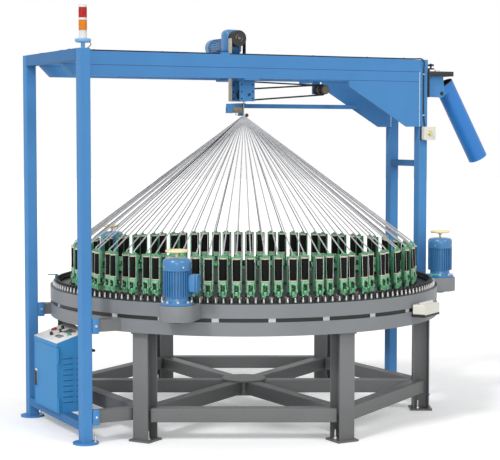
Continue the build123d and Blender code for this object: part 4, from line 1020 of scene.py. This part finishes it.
def dress_fasteners():
    """Anchor bolts on leg plates and post feet, and the blue link plates with their bolts."""
    bolts = bmesh.new()
    legs = 6
    for k in range(legs):
        for side in (1, -1):
            spot = nth_turn(k, legs) @ Matrix.Translation((1.400 + side * 0.025, side * 0.040, 0.014))
            hex_bolt(bolts, spot, 0.014, 0.016)
            lathe(bolts, [(0, 0.014), (0.008, 0.014), (0.008, 0.060), (0.006, 0.063), (0, 0.063)], 14, spot)
    bolt_u, bolt_n = 0.058, 0.03596
    posts = [(LEFT_POST_U + bolt_u, n) for n in LEFT_POST_LINES]
    posts += [(RIGHT_POST_U - bolt_u, n) for n in BEAM_LINES]
    for u, n in posts:
        for side in (-1, 1):
            spot = gantry_spot(u, n + side * bolt_n, 0.012)
            hex_bolt(bolts, spot, 0.010, 0.012)
            lathe(bolts, [(0, 0.010), (0.006, 0.010), (0.006, 0.048), (0, 0.050)], 12, spot)
    piece("anchor_bolts", bolts, ZINC)
    plates = bmesh.new()
    heads = bmesh.new()
    for n in LEFT_POST_LINES:
        front = n - 0.050
        for low, high in ((0.784, 0.880), (0.138, 0.238)):
            block(plates, (-1.5515, front, low - 0.006), (-1.5040, n - 0.0395, high + 0.006), GANTRY,
                  round_edge=0.002)
            hex_bolt(heads, gantry_spot(-1.526, front, (low + high) / 2) @ FACING_FRONT, 0.006, 0.008)
    piece("blue_link_plates", plates, BLUE)
    piece("link_plate_bolts", heads, ZINC)


LOOKS = {
    # The cross beams take the blue that is darkened as painted shade
    PAINTED_SHADE_BLUE: "cross_beams",
    BLUE: "gantry_posts long_beams forming_arm takeup_plate pulley_hanger roller_box",
    GREY: "leg_columns perimeter_rails radial_beams center_hub link_beams",
    RING_GREY: "lower_ring gear_housing",
    PALE_GREY: "ring_spacers",
    TRACK: "track_rims track_discs belt_roller",
    TUBE_BLUE: "delivery_tube",
    DEEP_BLUE: "stop_posts",
    BLACK: "takeup_capstan guide_roller door_handle station_tray selector_knob",
    STEEL: "forming_ring",
    PULLEY_BROWN: "belt_pulley",
    LAMP_WHITE: "lamp_band lamp_cap push_button_1 push_button_2 push_button_3 push_button_4",
    CABINET_BLUE: "cabinet_shell cabinet_door",
    OFF_WHITE: "switch_box button_station",
    YELLOW: "switch_button",
    BUTTON_GREEN: "start_button stop_lever_left stop_lever_right",
}


def coat_solids():
    """Gives every carried-over solid its finish."""
    for look, names in LOOKS.items():
        for name in names.split():
            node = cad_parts[name]
            if not node.material_slots:
                node.data.materials.append(look)
            for holder in node.material_slots:
                holder.material = look


def light_room():
    """Even white daylight, at full strength only where the camera or a reflection sees it."""
    world = bpy.data.worlds.new("pale_room")
    bpy.context.scene.world = world
    world.use_nodes = True
    nodes, links = world.node_tree.nodes, world.node_tree.links
    sky = nodes["Background"]
    sky.inputs["Color"].default_value = (1, 1, 1, 1)
    path = nodes.new("ShaderNodeLightPath")
    mirrored = nodes.new("ShaderNodeMath")
    mirrored.operation = "MAXIMUM"
    links.new(path.outputs["Is Glossy Ray"], mirrored.inputs[0])
    links.new(path.outputs["Is Transmission Ray"], mirrored.inputs[1])
    seen = nodes.new("ShaderNodeMath")
    seen.operation = "MAXIMUM"
    links.new(path.outputs["Is Camera Ray"], seen.inputs[0])
    links.new(mirrored.outputs[0], seen.inputs[1])
    level = nodes.new("ShaderNodeMapRange")
    set_inputs(level, {"To Min": ROOM_LIGHT, "To Max": 1.0})
    links.new(seen.outputs[0], level.inputs["Value"])
    links.new(level.outputs["Result"], sky.inputs["Strength"])


def lay_floor():
    """Pale floor that glows a little for the camera only."""
    mesh = bmesh.new()
    bmesh.ops.create_grid(mesh, x_segments=2, y_segments=2, size=FLOOR_SIZE)
    data = bpy.data.meshes.new("pale_floor")
    mesh.to_mesh(data)
    mesh.free()
    floor = linked("pale_floor", data)
    floor.location.z = -FLOOR_DROP
    pale = finish("pale_floor", (0.92, 0.92, 0.92), 0.9, mottle=0.005)
    nodes, links = pale.node_tree.nodes, pale.node_tree.links
    glow = nodes["Principled BSDF"].inputs
    glow["Emission Color"].default_value = (1, 1, 1, 1)
    camera_only = nodes.new("ShaderNodeLightPath")
    amount = nodes.new("ShaderNodeMath")
    amount.operation = "MULTIPLY"
    amount.inputs[1].default_value = FLOOR_GLOW
    links.new(camera_only.outputs["Is Camera Ray"], amount.inputs[0])
    links.new(amount.outputs[0], glow["Emission Strength"])
    data.materials.append(pale)


# Each sun's energy, its turns in degrees and its spread in degrees
SUNS = {"key_sun": (1.5, (48, 0, -38), 12),
        "fill_sun": (0.7, (55, 0, 50), 25),
        "front_sun": (0.6, (75, 0, 2), 25)}


def hang_suns():
    """Soft key, fill and front light."""
    for name, (energy, turn, spread) in SUNS.items():
        lamp = bpy.data.lights.new(name, "SUN")
        lamp.energy = energy
        lamp.angle = radians(spread)
        linked(name, lamp).rotation_euler = [radians(t) for t in turn]


def set_camera():
    """The photograph's viewpoint."""
    view = bpy.data.cameras.new("photo_view")
    view.sensor_width = SENSOR
    view.lens = FOCAL_PIXELS / PHOTO_WIDE * SENSOR
    view.shift_x = VIEW_SHIFT
    view.clip_end = 200.0
    eye = linked("photo_view", view)
    eye.location = EYE_PLACE
    eye.rotation_euler = (pi / 2 - EYE_DIP, 0, 0)
    bpy.context.scene.camera = eye
    bpy.context.scene.view_settings.view_transform = "Standard"


coat_solids()
dress_carriers()
dress_motors()
dress_lamp()
dress_panel()
dress_cabinet()
dress_takeup()
dress_braid()
dress_fasteners()
dress_ring()
dress_gantry()
dress_delivery()
dress_switch_box()
dress_belt()
light_room()
lay_floor()
hang_suns()
set_camera()
